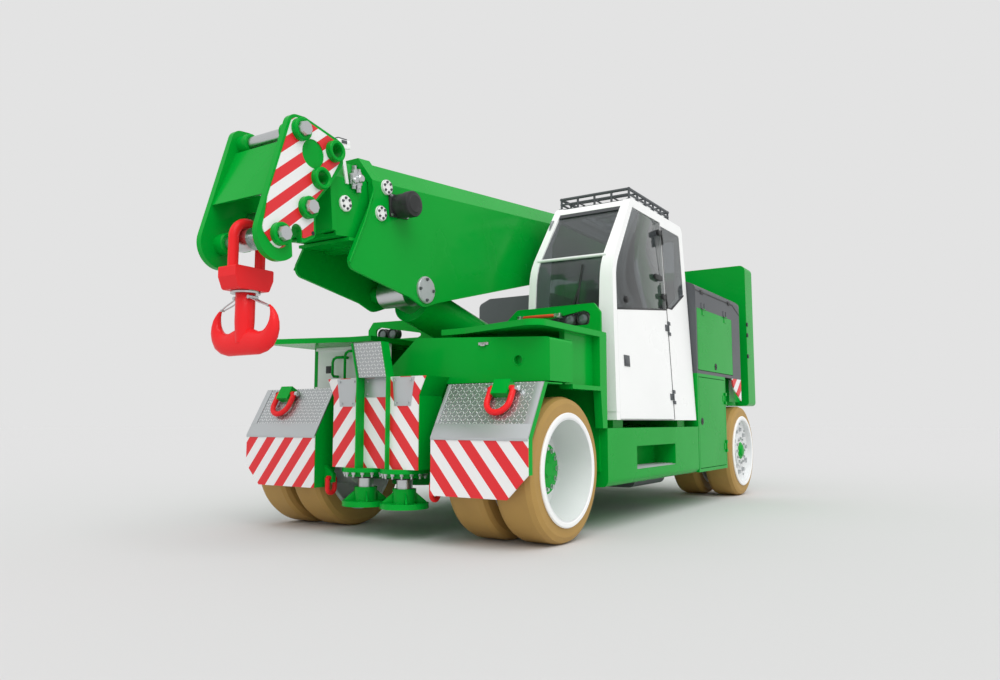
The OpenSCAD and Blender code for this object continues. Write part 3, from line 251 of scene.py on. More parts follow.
@dataclass(frozen=True)
class Enamel(Finish):
    """Two-pack machine enamel on steel: glossy, with faint orange peel and broad dusty patches.

    Attributes:
        dusty: Colour of the patches that have dulled.
        patch_mm: Width of a patch.
        peel_mm: Width of one orange peel dimple, drawn coarser than the real 2 mm so that it shows.
        coat: Weight of the clear gloss layer.
        ior: Refraction index, set low because the paint looks deep where it is seen square on.
    """

    dusty: str = "#808080"
    patch_mm: float = 700.0
    peel_mm: float = 9.0
    coat: float = 0.12
    ior: float = 1.24

    def dress(self, graph: Graph) -> None:
        """Adds patches, uneven gloss and orange peel.

        Args:
            graph: Nodes of the material.
        """
        patch = graph.noise(self.patch_mm, 5.0)
        graph.tint(graph.spread(patch, (0.42, 0.72), (0.0, 0.55)), self.colour, self.dusty)
        graph.feed("Roughness", graph.spread(patch, (0.3, 0.7), (self.roughness * 0.8, self.roughness * 1.25)))
        graph.bump(graph.noise(self.peel_mm, 1.0), 0.03, 0.5)
        graph.values({"IOR": self.ior, "Coat Weight": self.coat, "Coat Roughness": 0.06, "Coat IOR": 1.35})


@dataclass(frozen=True)
class WarningStripes(Finish):
    """Reflective sheeting in slanting bands: satin, with the fine cells of the sheet as a soft bump.

    Attributes:
        band: Colour of the second band.
        pitch_mm: Distance from one band to the next of its colour, square to them.
        run: Direction square to the bands in X, Y and Z, before the two sides are mirrored.
        middle_mm: Half width of the middle field, which isn't mirrored.
        cell_mm: Width of one cell of the sheet.
    """

    band: str = "#e5232b"
    pitch_mm: float = 147.0
    run: Point = (0.5, 0.768, 0.64)
    middle_mm: float = 135.0
    cell_mm: float = 8.0

    def dress(self, graph: Graph) -> None:
        """Adds the bands, mirrored about the middle plane.

        Args:
            graph: Nodes of the material.
        """
        x, y, z = graph.axes()
        across = graph.calc("ABSOLUTE", y)
        outside = graph.calc("GREATER_THAN", across, self.middle_mm * MM)
        side = add_node(graph.tree, "ShaderNodeMix", {"data_type": "FLOAT"}, {0: outside, 2: y, 3: across})
        folded = add_node(graph.tree, "ShaderNodeCombineXYZ", None, {0: x, 1: side.outputs[0], 2: z})
        settings = {"operation": "DOT_PRODUCT", 1: Vector(self.run) / (self.pitch_mm * MM)}
        count = add_node(graph.tree, "ShaderNodeVectorMath", settings, {0: folded.outputs[0]}).outputs["Value"]
        second = graph.calc("GREATER_THAN", graph.calc("FLOORED_MODULO", count, 1.0), 0.5)
        graph.tint(second, self.colour, self.band)
        graph.bump(graph.cells(self.cell_mm), 0.04, 0.3)


@dataclass(frozen=True)
class ChequerPlate(Finish):
    """Rolled aluminium chequer plate: bright, with raised lenses that turn from one to the next.

    Attributes:
        rubbed: Colour of the rubbed tops.
        pitch_mm: Distance between lenses.
        slope: Length along the plate for each unit of height.
        lens: Pitch over the half length and over the half width of a lens, along its diagonal.
    """

    rubbed: str = "#eef0f0"
    pitch_mm: float = 26.0
    slope: float = 1.12
    lens: Pair = (1.25, 4.5)

    def dress(self, graph: Graph) -> None:
        """Adds the lenses as bump, and rubbed tops.

        Args:
            graph: Nodes of the material.
        """
        graph.values({"Metallic": 0.85})
        cell: list[Socket] = []
        local: list[Socket] = []
        for axis, stretch in zip(graph.axes()[1:], (1.0, self.slope)):
            run = graph.calc("MULTIPLY", axis, stretch / (self.pitch_mm * MM))
            cell.append(graph.calc("FLOOR", run))
            local.append(graph.calc("SUBTRACT", graph.calc("SUBTRACT", run, cell[-1]), 0.5))
        odd = graph.calc("FLOORED_MODULO", graph.calc("ADD", *cell), 2.0)
        mirrored = graph.calc("MULTIPLY", local[1], graph.calc("MULTIPLY_ADD", odd, -2.0, 1.0))
        along, across = (graph.calc("MULTIPLY", graph.calc(step, local[0], mirrored), size)
                         for step, size in zip(("ADD", "SUBTRACT"), self.lens))
        reach = graph.calc("MULTIPLY_ADD", across, across, graph.calc("POWER", along, 2.0))
        raised = graph.spread(reach, (1.0, 0.35), (0.0, 1.0), "SMOOTHSTEP")
        graph.bump(raised, 0.7, 2.5)
        graph.tint(raised, self.colour, self.rubbed)


@dataclass(frozen=True)
class BareMetal(Finish):
    """Turned or ground steel: metallic, with fine tool marks across it.

    Attributes:
        mark_mm: Distance between tool marks, coarser than the real ones so that they show.
        metallic: Share of metal in the look.
    """

    mark_mm: float = 6.0
    metallic: float = 1.0

    def dress(self, graph: Graph) -> None:
        """Adds tool marks and rubbed patches.

        Args:
            graph: Nodes of the material.
        """
        graph.values({"Metallic": self.metallic})
        marks = graph.noise(self.mark_mm, 4.0)
        graph.feed("Roughness", graph.spread(marks, (0.0, 1.0), (self.roughness * 0.7, self.roughness * 1.35)))
        graph.bump(marks, 0.06, 0.2)


@dataclass(frozen=True)
class Grained(Finish):
    """Moulded plastic, rubber or leathercloth: dull, with a fine grain and faint scuffs.

    Attributes:
        scuffed: Colour of the scuffs.
        grain_mm: Width of the grain.
        depth_mm: Depth of the grain.
        scuff_mm: Width of a scuffed patch.
    """

    scuffed: str = "#505050"
    grain_mm: float = 4.0
    depth_mm: float = 0.4
    scuff_mm: float = 160.0

    def dress(self, graph: Graph) -> None:
        """Adds grain and scuffs.

        Args:
            graph: Nodes of the material.
        """
        share = graph.spread(graph.noise(self.scuff_mm, 6.0), (0.45, 0.75), (0.0, 0.6))
        graph.tint(share, self.colour, self.scuffed)
        graph.bump(graph.cells(self.grain_mm), 0.15, self.depth_mm)


@dataclass(frozen=True)
class TintedGlass(Finish):
    """Toughened safety glass with a grey tint: clear, smooth, very slightly wavy.

    Attributes:
        wave_mm: Length of a wave in the sheet.
    """

    wave_mm: float = 300.0

    def dress(self, graph: Graph) -> None:
        """Lets light through and adds the waviness of toughened sheet.

        Args:
            graph: Nodes of the material.
        """
        graph.values({"Transmission Weight": 0.92, "IOR": 1.45})
        graph.bump(graph.noise(self.wave_mm), 0.02, 1.0)


GREEN = Enamel("green_machine_enamel", Slot.GREEN, "#00a634", 0.26, dusty="#009b2e", coat=0.08, ior=1.18)
WHITE = Enamel("white_cab_enamel", Slot.WHITE, "#fdfefd", 0.3, dusty="#f5f6f5")
RIM = Enamel("pale_rim_enamel", Slot.WHITE, "#eceeee", 0.34, dusty="#dfe1e2")
GREY = Enamel("dark_grey_enamel", Slot.GREY, "#5a5d60", 0.42, dusty="#626568", coat=0.1)
RED = Enamel("red_hook_enamel", Slot.RED, "#f2282c", 0.32, dusty="#e42428")
CHEQUER = ChequerPlate("rolled_chequer_plate", Slot.STEEL, "#b4b8ba", 0.32)
STEEL = BareMetal("ground_steel", Slot.STEEL, "#c9cccd", 0.3)
PLATE_GREY = BareMetal("brushed_aluminium_sheet", Slot.STEEL, "#c2c6c8", 0.38, metallic=0.6)
BLACK = Grained("black_moulded_plastic", Slot.BLACK, "#1d1f20", 0.5)
TYRE = Grained("tan_solid_rubber", Slot.TYRE, "#b48f4c", 0.62, scuffed="#a58244", grain_mm=7.0, scuff_mm=260.0)
GLASS = TintedGlass("grey_tinted_glass", Slot.GLASS, "#a4aaad", 0.03)
BODY_STRIPES = WarningStripes("reflective_stripes_body", Slot.WHITE, "#f2f2f2", 0.4)
HEAD_STRIPES = WarningStripes("reflective_stripes_head", Slot.WHITE, "#f2f2f2", 0.4, pitch_mm=122.0,
                              run=(0.64, 0.0, 0.768))
LEATHERCLOTH = Grained("black_leathercloth", Slot.BLACK, "#232425", 0.55, scuffed="#2e2f31", grain_mm=3.0)
HOSE = Grained("red_hose_rubber", Slot.RED, "#e0471f", 0.5, scuffed="#c63d1a", grain_mm=5.0)
LENS_CLEAR = BareMetal("clear_lamp_lens", Slot.GLASS, "#6d7478", 0.12, mark_mm=9.0, metallic=0.3)
FRIT = Enamel("dark_glass_border", Slot.BLACK, "#3b3e41", 0.1, dusty="#424548", coat=0.3, ior=1.45)
LENS_RED = Grained("red_lamp_lens", Slot.RED, "#c3161c", 0.18, scuffed="#a81318", grain_mm=7.0)
LENS_AMBER = Grained("amber_lamp_lens", Slot.RED, "#ee8a12", 0.18, scuffed="#d97b0e", grain_mm=7.0)

NODE_FINISHES: dict[Finish, tuple[str, ...]] = {
    GREEN: ("chassis_frame", "boom_tower", "front_axle", "rear_axle", "nose_box", "fender_left", "fender_right",
            "front_locker", "deck_left", "deck_right", "sill_left", "sill_right", "engine_bay",
            "engine_door_lower", "engine_door_upper", "tank_right", "counterweight", "boom_base", "boom_mid",
            "boom_fly", "lift_barrel", "jack_left", "jack_right", "knuckle_left", "knuckle_right"),
    WHITE: ("cab_sides", "cab_ends", "cab_floor_roof", "door_panel"),
    RIM: ("rims_front_left", "rims_front_right", "rims_rear_left", "rims_rear_right"),
    GREY: ("roof_guard", "belly_tank", "engine_block", "hood_left", "hood_right"),
    RED: ("hook_bow", "hook_horns", "tow_shackles"),
    CHEQUER: ("tread_plates",),
    STEEL: ("boom_pads", "head_pins", "lift_rod", "jack_rod_left", "jack_rod_right"),
    BLACK: ("operator_seat", "steering_console", "boom_drum", "lamps"),
    TYRE: ("tyres_front_left", "tyres_front_right", "tyres_rear_left", "tyres_rear_right"),
    GLASS: ("cab_glass", "door_glass"),
    BODY_STRIPES: ("warning_panels",),
    HEAD_STRIPES: ("head_panels",),
}


def finish_nodes() -> None:
    """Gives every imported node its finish."""
    for finish, names in NODE_FINISHES.items():
        for name in names:
            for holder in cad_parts[name].material_slots:
                holder.material = finish.material()
            log.info("node %s: %s", name, finish.name)


def add_object(name: str, data: bpy.types.ID) -> bpy.types.Object:
    """Adds an object to the scene.

    Args:
        name: Name of the object.
        data: Its mesh, light or camera.

    Returns:
        The new object.
    """
    made = bpy.data.objects.new(name, data)
    bpy.context.scene.collection.objects.link(made)
    return made


class Form:
    """Mesh of one piece while it is being modelled."""

    def __init__(self) -> None:
        """Starts an empty mesh."""
        self.bm = bmesh.new()

    def prism(self, outline: list[Vector], depth: Vector, bevel_mm: float = 0.0, segments: int = 2) -> None:
        """Adds a closed plate.

        Args:
            outline: Corners of one face, in order.
            depth: From that face to the other one.
            bevel_mm: Rounding of all edges.
            segments: Steps in a rounding.
        """
        bm = self.bm
        face = bm.faces.new([bm.verts.new(corner) for corner in outline])
        made = bmesh.ops.extrude_face_region(bm, geom=[face])["geom"]
        far = [item for item in made if isinstance(item, bmesh.types.BMVert)]
        bmesh.ops.translate(bm, vec=depth, verts=far)
        faces = {near for vert in list(face.verts) + far for near in vert.link_faces}
        bmesh.ops.recalc_face_normals(bm, faces=list(faces))
        if bevel_mm > 0:
            edges = {edge for near in faces for edge in near.edges}
            bmesh.ops.bevel(bm, geom=list(edges), offset=bevel_mm * MM, affect="EDGES", segments=segments,
                            profile=0.5, material=-1, clamp_overlap=True)

    def brick(self, low: Point, high: Point, bevel_mm: float = 0.0, place: Place = at) -> None:
        """Adds a block between two corners.

        Args:
            low: Lower corner in millimetres.
            high: Upper corner in millimetres.
            bevel_mm: Rounding of its edges.
            place: Frame that the corners are given in.
        """
        (x0, y0, z0), (x1, y1, z1) = low, high
        foot = [place(x0, y0, z0), place(x1, y0, z0), place(x1, y1, z0), place(x0, y1, z0)]
        self.prism(foot, place(x0, y0, z1) - foot[0], bevel_mm)

    def rod(self, start: Vector, end: Vector, diameter_mm: float, segments: int = 24,
            end_mm: float | None = None) -> None:
        """Adds a round or many-sided bar.

        Args:
            start: Middle of one end.
            end: Middle of the other end.
            diameter_mm: Diameter at the start.
            segments: Number of sides.
            end_mm: Diameter at the end, if it tapers.
        """
        axis = end - start
        place = Matrix.Translation((start + end) / 2) @ axis.to_track_quat("Z", "Y").to_matrix().to_4x4()
        far_mm = diameter_mm if end_mm is None else end_mm
        bmesh.ops.create_cone(self.bm, cap_ends=True, cap_tris=False, segments=segments, depth=axis.length,
                              radius1=diameter_mm / 2 * MM, radius2=far_mm / 2 * MM, matrix=place)

    def bolts(self, seats: Iterable[Vector], axis: Vector, across_mm: float) -> None:
        """Adds hexagon heads on washers.

        Args:
            seats: Points on the face that the bolts hold.
            axis: Direction away from that face.
            across_mm: Width over the corners.
        """
        for seat in seats:
            washer = seat + axis * across_mm * 0.12 * MM
            self.rod(seat, washer, across_mm * 1.25, 16)
            self.rod(washer, washer + axis * across_mm * 0.5 * MM, across_mm, 6)

    def turned(self, profile_mm: Profile, origin: Vector, axis: Vector, steps: int = 40) -> None:
        """Adds a turned piece.

        Args:
            profile_mm: Radius and height of the profile's points, from one end on the axis to the other.
            origin: Point on the axis at height 0.
            axis: Direction of the height.
            steps: Number of steps round.
        """
        bm = self.bm
        out = axis.orthogonal().normalized()
        verts = [bm.verts.new(origin + out * radius * MM + axis * height * MM) for radius, height in profile_mm]
        edges = [bm.edges.new(pair) for pair in zip(verts, verts[1:])]
        bmesh.ops.spin(bm, geom=verts + edges, cent=origin, axis=axis, angle=math.tau, steps=steps, use_merge=True)
        bmesh.ops.remove_doubles(bm, verts=bm.verts, dist=0.02 * MM)
        bmesh.ops.recalc_face_normals(bm, faces=bm.faces)

    def lofted(self, places: list[Matrix], segments: int = 12) -> None:
        """Adds a closed skin over a row of round sections.

        Args:
            places: Place, turn and size of a unit circle for each section.
            segments: Number of sides.
        """
        last: list[bmesh.types.BMEdge] = []
        for index, place in enumerate(places):
            made = bmesh.ops.create_circle(self.bm, cap_ends=index in (0, len(places) - 1), segments=segments,
                                           radius=1.0, matrix=place)["verts"]
            ring = list({edge for vert in made for edge in vert.link_edges})
            if last:
                bmesh.ops.bridge_loops(self.bm, edges=last + ring)
            last = ring
        bmesh.ops.recalc_face_normals(self.bm, faces=self.bm.faces)

    def swept(self, path: list[Vector], diameter_mm: float, segments: int = 12) -> None:
        """Adds a bent round bar.

        Args:
            path: Points along its middle line.
            diameter_mm: Diameter of the bar.
            segments: Number of sides.
        """
        places = []
        for index, point in enumerate(path):
            before, after = path[max(index - 1, 0)], path[min(index + 1, len(path) - 1)]
            turn = (after - before).to_track_quat("Z", "Y").to_matrix().to_4x4()
            places.append(Matrix.Translation(point) @ turn @ Matrix.Scale(diameter_mm / 2 * MM, 4))
        self.lofted(places, segments)

    def piece(self, name: str, finish: Finish, body: str = "chassis", smooth_deg: float = 32.0) -> bpy.types.Object:
        """Turns the finished mesh into a piece that rides on a body.

        Args:
            name: Name of the piece.
            finish: Its finish.
            body: Body that it moves with.
            smooth_deg: Angle up to which edges are shaded round.

        Returns:
            The new object.
        """
        mesh = bpy.data.meshes.new(name)
        self.bm.to_mesh(mesh)
        self.bm.free()
        mesh.shade_smooth()
        mesh.set_sharp_from_angle(angle=math.radians(smooth_deg))
        mesh.materials.append(finish.material())
        piece = add_object(name, mesh)
        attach(piece, body)
        log.info("piece %s on %s: %d faces", name, body, len(mesh.polygons))
        return piece


def blocks(name: str, finish: Finish, rows: Iterable[tuple[Point, Point, float]], body: str = "chassis",
           place: Place = at) -> None:
    """Makes a piece of rounded blocks.

    Args:
        name: Name of the piece.
        finish: Its finish.
        rows: Lower corner, upper corner and rounding of each block.
        body: Body that it moves with.
        place: Frame that the corners are given in.
    """
    form = Form()
    for low, high, bevel_mm in rows:
        form.brick(low, high, bevel_mm, place)
    form.piece(name, finish, body)


def disc(radius: float, height: float, chamfer: Pair, foot: float = 0.0) -> Profile:
    """Returns the profile of a disc whose upper edge has a chamfer of a width and height."""
    return [(0, height), (radius - chamfer[0], height), (radius, height - chamfer[1]), (radius, foot), (0, foot)]


def ring(inner: float, outer: float, height: float, chamfer: Pair) -> Profile:
    """Returns the profile of a ring on its foot, whose upper outer edge has a chamfer."""
    edge = [(outer, height - chamfer[1]), (outer - chamfer[0], height)]
    return [(inner, 0), (outer, 0), *edge, (inner, height), (inner, 0)]


# Turned profiles of the wheels: radius and distance outwards from the middle of the pair
RIM_EDGE = [(334, 337), (340, 341), (364, 341), (371, 334), (368, 325), (350, 322), (334, 330), (334, 337)]
DEEP_HUB = [(0, 186), (44, 186), (52, 180), (56, 172), (104, 168), (150, 168), (169, 160), (170, 66), (0, 66)]
FLAT_HUB = [(0, 336), (40, 336), (58, 330), (64, 318), (84, 314), (90, 306), (0, 306)]
# Rows of nuts: number, radius of the circle, face that they sit on and width over the corners
DEEP_NUTS = ((12, 134.0, 168.0, 26.0), (8, 250.0, 64.0, 34.0))
FLAT_NUTS = ((12, 132.0, 305.0, 26.0), (10, 228.0, 289.0, 40.0), (10, 290.0, 289.0, 18.0))


@dataclass
class Wheel:
    """Hub, nuts and rim edge of one twin wheel.

    Attributes:
        name: Short name of the corner.
        body: Body that turns with the wheel.
        x: Axle's place along the machine.
        side: 1 for the left side and -1 for the right one.
        deep: Whether the disc lies deep in the rim, as at the front.
        track: Middle plane to the middle of the pair.
        height: Axle's height.
    """

    name: str
    body: str
    x: float
    side: int
    deep: bool
    track: float = 897.0
    height: float = 475.0

    def build(self) -> None:
        """Rolls the white rim edge over the tyre's flank and adds the green hub and the nuts."""
        middle, out = at(self.x, self.side * self.track, self.height), LEFT * self.side
        edge, hub, nuts = Form(), Form(), Form()
        edge.turned(RIM_EDGE, middle, out, 72)
        edge.piece(f"rim_edge_{self.name}", WHITE, self.body)
        hub.turned(DEEP_HUB if self.deep else FLAT_HUB, middle, out, 56)
        hub.piece(f"hub_cap_{self.name}", GREEN, self.body)
        for count, radius, face, across in DEEP_NUTS if self.deep else FLAT_NUTS:
            nuts.bolts(ring_points(count, radius, middle + out * face * MM, out), out, across)
        nuts.piece(f"wheel_nuts_{self.name}", STEEL, self.body)


@dataclass
class Nose:
    """Plates on the nose and bolts of the jack flanges.

    Attributes:
        centre_x: Face of the middle striped panel.
        outer_x: Face of the outer striped panels.
        plate_t: Thickness of the plain plates.
        jack: Jack's place along and across the machine.
        flange_z: Underside of the jack flanges.
        bolts: Bolts in each flange.
        bolt_ring: Radius of the circle that they stand on.
        ribs: Ribs on each jack foot.
        rib_t: Thickness of a rib.
    """

    centre_x: float = 466.0
    outer_x: float = 506.0
    plate_t: float = 4.0
    jack: Pair = (385.0, 175.0)
    flange_z: float = 440.0
    bolts: int = 14
    bolt_ring: float = 147.0
    ribs: int = 4
    rib_t: float = 12.0

    def plates(self) -> None:
        """Screws plain metal plates over the upper ends of the stripes."""
        plates, screws = Form(), Form()
        plates.brick((self.centre_x, -127, 955), (self.centre_x + self.plate_t, 127, 1088), 1.5)
        seats = [at(self.centre_x + self.plate_t, y, z) for z in (975, 1068) for y in (-105, 105)]
        for side in SIDES:
            face = ((161, 1086), (352, 1086), (322, 892), (180, 892))
            plates.prism([at(self.outer_x, side * y, z) for y, z in face], AHEAD * self.plate_t * MM, 1.5)
            corners = ((185, 1066), (325, 1066), (200, 912), (302, 912))
            seats += [at(self.outer_x + self.plate_t, side * y, z) for y, z in corners]
        screws.bolts(seats, AHEAD, 14)
        plates.piece("nose_plates", PLATE_GREY)
        screws.piece("nose_plate_screws", STEEL)

    def jack_point(self, side: int, z: float) -> Vector:
        """Returns the point of a height on the axis of one side's jack."""
        return at(self.jack[0], side * self.jack[1], z)

    def flange_bolts(self) -> None:
        """Hangs the bolts and the wiper rings under the jack flanges."""
        heads, wipers = Form(), Form()
        for side in SIDES:
            for seat in ring_points(self.bolts, self.bolt_ring, self.jack_point(side, self.flange_z), -UP):
                heads.bolts([seat], -UP, 26)
                heads.rod(seat - UP * 15 * MM, seat - UP * 34 * MM, 15, 12)
            wipers.turned(ring(57, 84, 14, (10, 6)), self.jack_point(side, self.flange_z - 30), -UP)
        heads.piece("jack_flange_bolts", STEEL)
        wipers.piece("jack_wipers", BLACK)

    def foot_ribs(self) -> None:
        """Stiffens each jack foot with upright ribs."""
        for side, name in LEFT_RIGHT:
            form, middle = Form(), self.jack_point(side, 0)
            for turn in range(self.ribs):
                spin = Matrix.Rotation(math.tau * (turn + 0.5) / self.ribs, 3, "Z")
                corners = ((78, 241), (150, 241), (150, 248), (78, 310))
                face = [middle + spin @ Vector((r * MM, -self.rib_t / 2 * MM, z * MM)) for r, z in corners]
                form.prism(face, spin @ LEFT * self.rib_t * MM, 1.5)
            form.piece(f"jack_foot_ribs_{name}", GREEN, f"{name}_jack")

    def build(self) -> None:
        """Builds all of the nose's pieces."""
        self.plates()
        self.flange_bolts()
        self.foot_ribs()


@dataclass
class Wing:
    """Folded metal trim of one front wing.

    Attributes:
        side: 1 for the left side and -1 for the right one.
        name: Word for the side.
        inner: Inner edge of the wing.
        outer: Outer edge of the wing.
        bend: Place and height of the bend line on the plate's face.
        top: Place and height of the upper edge on the plate's face.
        sheet: Thickness of the trim.
        band: Share of the slope that the plain band covers.
        pin: Middle and half length of the upper shackle's pin, across the machine.
    """

    side: int
    name: str
    inner: float = 522.0
    outer: float = 1250.0
    bend: Pair = (552.0, 686.0)
    top: Pair = (356.0, 1035.0)
    sheet: float = 4.0
    band: float = 0.25
    pin: Pair = (980.0, 108.0)

    def on_slope(self, share: float, lift: float) -> Pair:
        """Returns a point over the sloping plate.

        Args:
            share: 0 at the bend and 1 at the upper edge.
            lift: Distance from the plate's face.

        Returns:
            Its place along the machine and its height.
        """
        run = Vector(self.top) - Vector(self.bend)
        normal = Vector((run.y, -run.x)).normalized()
        point = Vector(self.bend) + run * share + normal * lift
        return point.x, point.y

    def trim(self) -> None:
        """Folds the plain band over the bend and runs strips up the slope's edges."""
        form, front, sheet = Form(), self.bend[0] - 1.5, self.sheet
        band = [self.on_slope(self.band, 0), self.bend, (front, 684.0), (front, 672.0), (front + sheet, 672.0),
                (front + sheet, 688.0), self.on_slope(self.band, sheet)]
        strip = [self.on_slope(share, lift) for share, lift in
                 ((self.band, 0.2), (0.99, 0.2), (0.99, sheet), (self.band, sheet))]
        runs = ((band, self.inner, self.outer), (strip, 1196.0, self.outer), (strip, self.inner, 546.0))
        for outline, low, high in runs:
            form.prism([at(x, self.side * low, z) for x, z in outline], LEFT * self.side * (high - low) * MM, 1.0)
        form.piece(f"wing_trim_{self.name}", PLATE_GREY)

    def pin_heads(self) -> None:
        """Adds the collars at the ends of the upper shackle's pin."""
        form = Form()
        run = (Vector(self.bend) - Vector(self.top)).normalized()
        x, z = Vector(self.top) + run * 60 + Vector((-run.y, run.x)) * 28
        for way in (-1, 1):
            seat = at(x, self.side * (self.pin[0] + way * self.pin[1]), z)
            form.turned(disc(20, 16, (5, 5), -6), seat, LEFT * way * self.side, 24)
        form.piece(f"shackle_pin_heads_{self.name}", STEEL)

    def build(self) -> None:
        """Builds all of the wing's pieces."""
        self.trim()
        self.pin_heads()


@dataclass
class Decks:
    """Work lamps, hose and fittings on the decks over the front wheels.

    Attributes:
        lamp_x: Front of the lamp housings.
        lamp_y: Lamps' places across the machine.
        lamp_z: Height of the lamps.
        hose_x: Hose's place along the machine.
        hose_y: Ends of the hose across the machine.
        hose_z: Height of the hose, just over the lamp screen's slot.
        hose_d: Diameter of the hose.
        hose_bow: Bow of the hose at its middle.
        bay_x: Face of the sheet that closes the bay under the right deck.
        bay_y: Outer and inner edge of that sheet.
        bay_z: Its lower and upper edge.
    """

    lamp_x: float = -700.0
    lamp_y: Pair = (883.0, 997.0)
    lamp_z: float = 1560.0
    hose_x: float = -652.0
    hose_y: Pair = (482.0, 800.0)
    hose_z: float = 1594.0
    hose_d: float = 28.0
    hose_bow: float = 10.0
    bay_x: float = -66.0
    bay_y: Pair = (-1138.0, -345.0)
    bay_z: Pair = (1046.0, 1390.0)

    def lamps(self) -> None:
        """Adds lenses, bezels and cooling ribs to the lamps."""
        lenses, rims = Form(), Form()
        bezel = [(40, 0), (40, 12), (47, 12), (50, 8), (50, -20), (48, -20), (48, 0), (40, 0)]
        for side in SIDES:
            for y in self.lamp_y:
                middle = at(self.lamp_x, side * y, self.lamp_z)
                lenses.turned([(0, 9), (24, 7.5), (41, 1), (41, 0), (0, 0)], middle, AHEAD, 32)
                rims.turned(bezel, middle, AHEAD, 32)
                for back in (-30, -44, -58):
                    rib = [(47, back), (53, back), (53, back - 6), (47, back - 6), (47, back)]
                    rims.turned(rib, middle, AHEAD, 32)
        lenses.piece("work_lamp_lenses", LENS_CLEAR)
        rims.piece("work_lamp_rims", BLACK)

    def hose(self) -> None:
        """Runs the red hose along the left lamp screen, from one bulkhead fitting to the other."""
        (start, end), points = self.hose_y, 21
        path = []
        for step in range(points):
            share = step / (points - 1)
            bow = self.hose_bow * math.sin(math.pi * share)
            path.append(at(self.hose_x + bow, start + (end - start) * share, self.hose_z))
        form, fittings = Form(), Form()
        form.swept(path, self.hose_d, 16)
        piece = form.piece("deck_hose", HOSE, smooth_deg=60)
        x, z = self.hose_x, self.hose_z
        for y, way in ((start, 1.0), (end, -1.0)):
            fittings.brick((-684, y - way * 34, z - 17), (x + 17, y, z + 17), 4)
            fittings.rod(at(x, y, z), at(x, y + way * 24, z), 36, 6)
        fittings.piece("deck_hose_fittings", STEEL)

    def fittings(self) -> None:
        """Adds the rim of the locker's filler hole and the locker's latch."""
        form = Form()
        rim = [(30, -2), (38, -2), (38, 3), (34, 5), (30, 3), (30, -2)]
        form.turned(rim, at(250, 1000, 1185), AHEAD, 40)
        form.piece("locker_hole_rim", GREEN)
        latch = [((249, 690, 1296), (257, 770, 1316), 2), ((256, 712, 1288), (268, 748, 1306), 3)]
        blocks("locker_latch", STEEL, latch)

    def right_bay(self) -> None:
        """Closes the bay under the right deck with a pale sheet that carries a grille plate and two grab rails."""
        x, (outer, inner), (low, high) = self.bay_x, self.bay_y, self.bay_z
        folds = [((x + 5, outer, z), (x + 30, inner, z + 24), 2) for z in (low, high - 24)]
        blocks("right_bay_sheet", RIM, [((x, outer, low), (x + 6, inner, high), 1.5), *folds])
        blocks("right_bay_vent", BLACK, [((x + 5, -1040, 1180), (x + 12, -985, 1240), 3)])
        rails, face, stand = Form(), x + 4, x + 70
        for y0, y1, foot, top in ((-905, -800, 1150, 1300), (-770, -640, 1120, 1345)):
            line = [(face, y0, foot), (stand - 14, y0, foot), (stand, y0, foot + 16), (stand, y0, top - 40),
                    (stand, y0 + 12, top - 12), (stand, y0 + 40, top), (stand, y1 - 20, top),
                    (stand - 6, y1 - 5, top), (stand - 20, y1, top), (face, y1, top)]
            rails.swept([at(*point) for point in line], 22, 12)
        rails.piece("right_bay_rails", GREEN, smooth_deg=60)

    def build(self) -> None:
        """Builds all of the decks' pieces."""
        self.right_bay()
        self.lamps()
        self.hose()
        self.fittings()


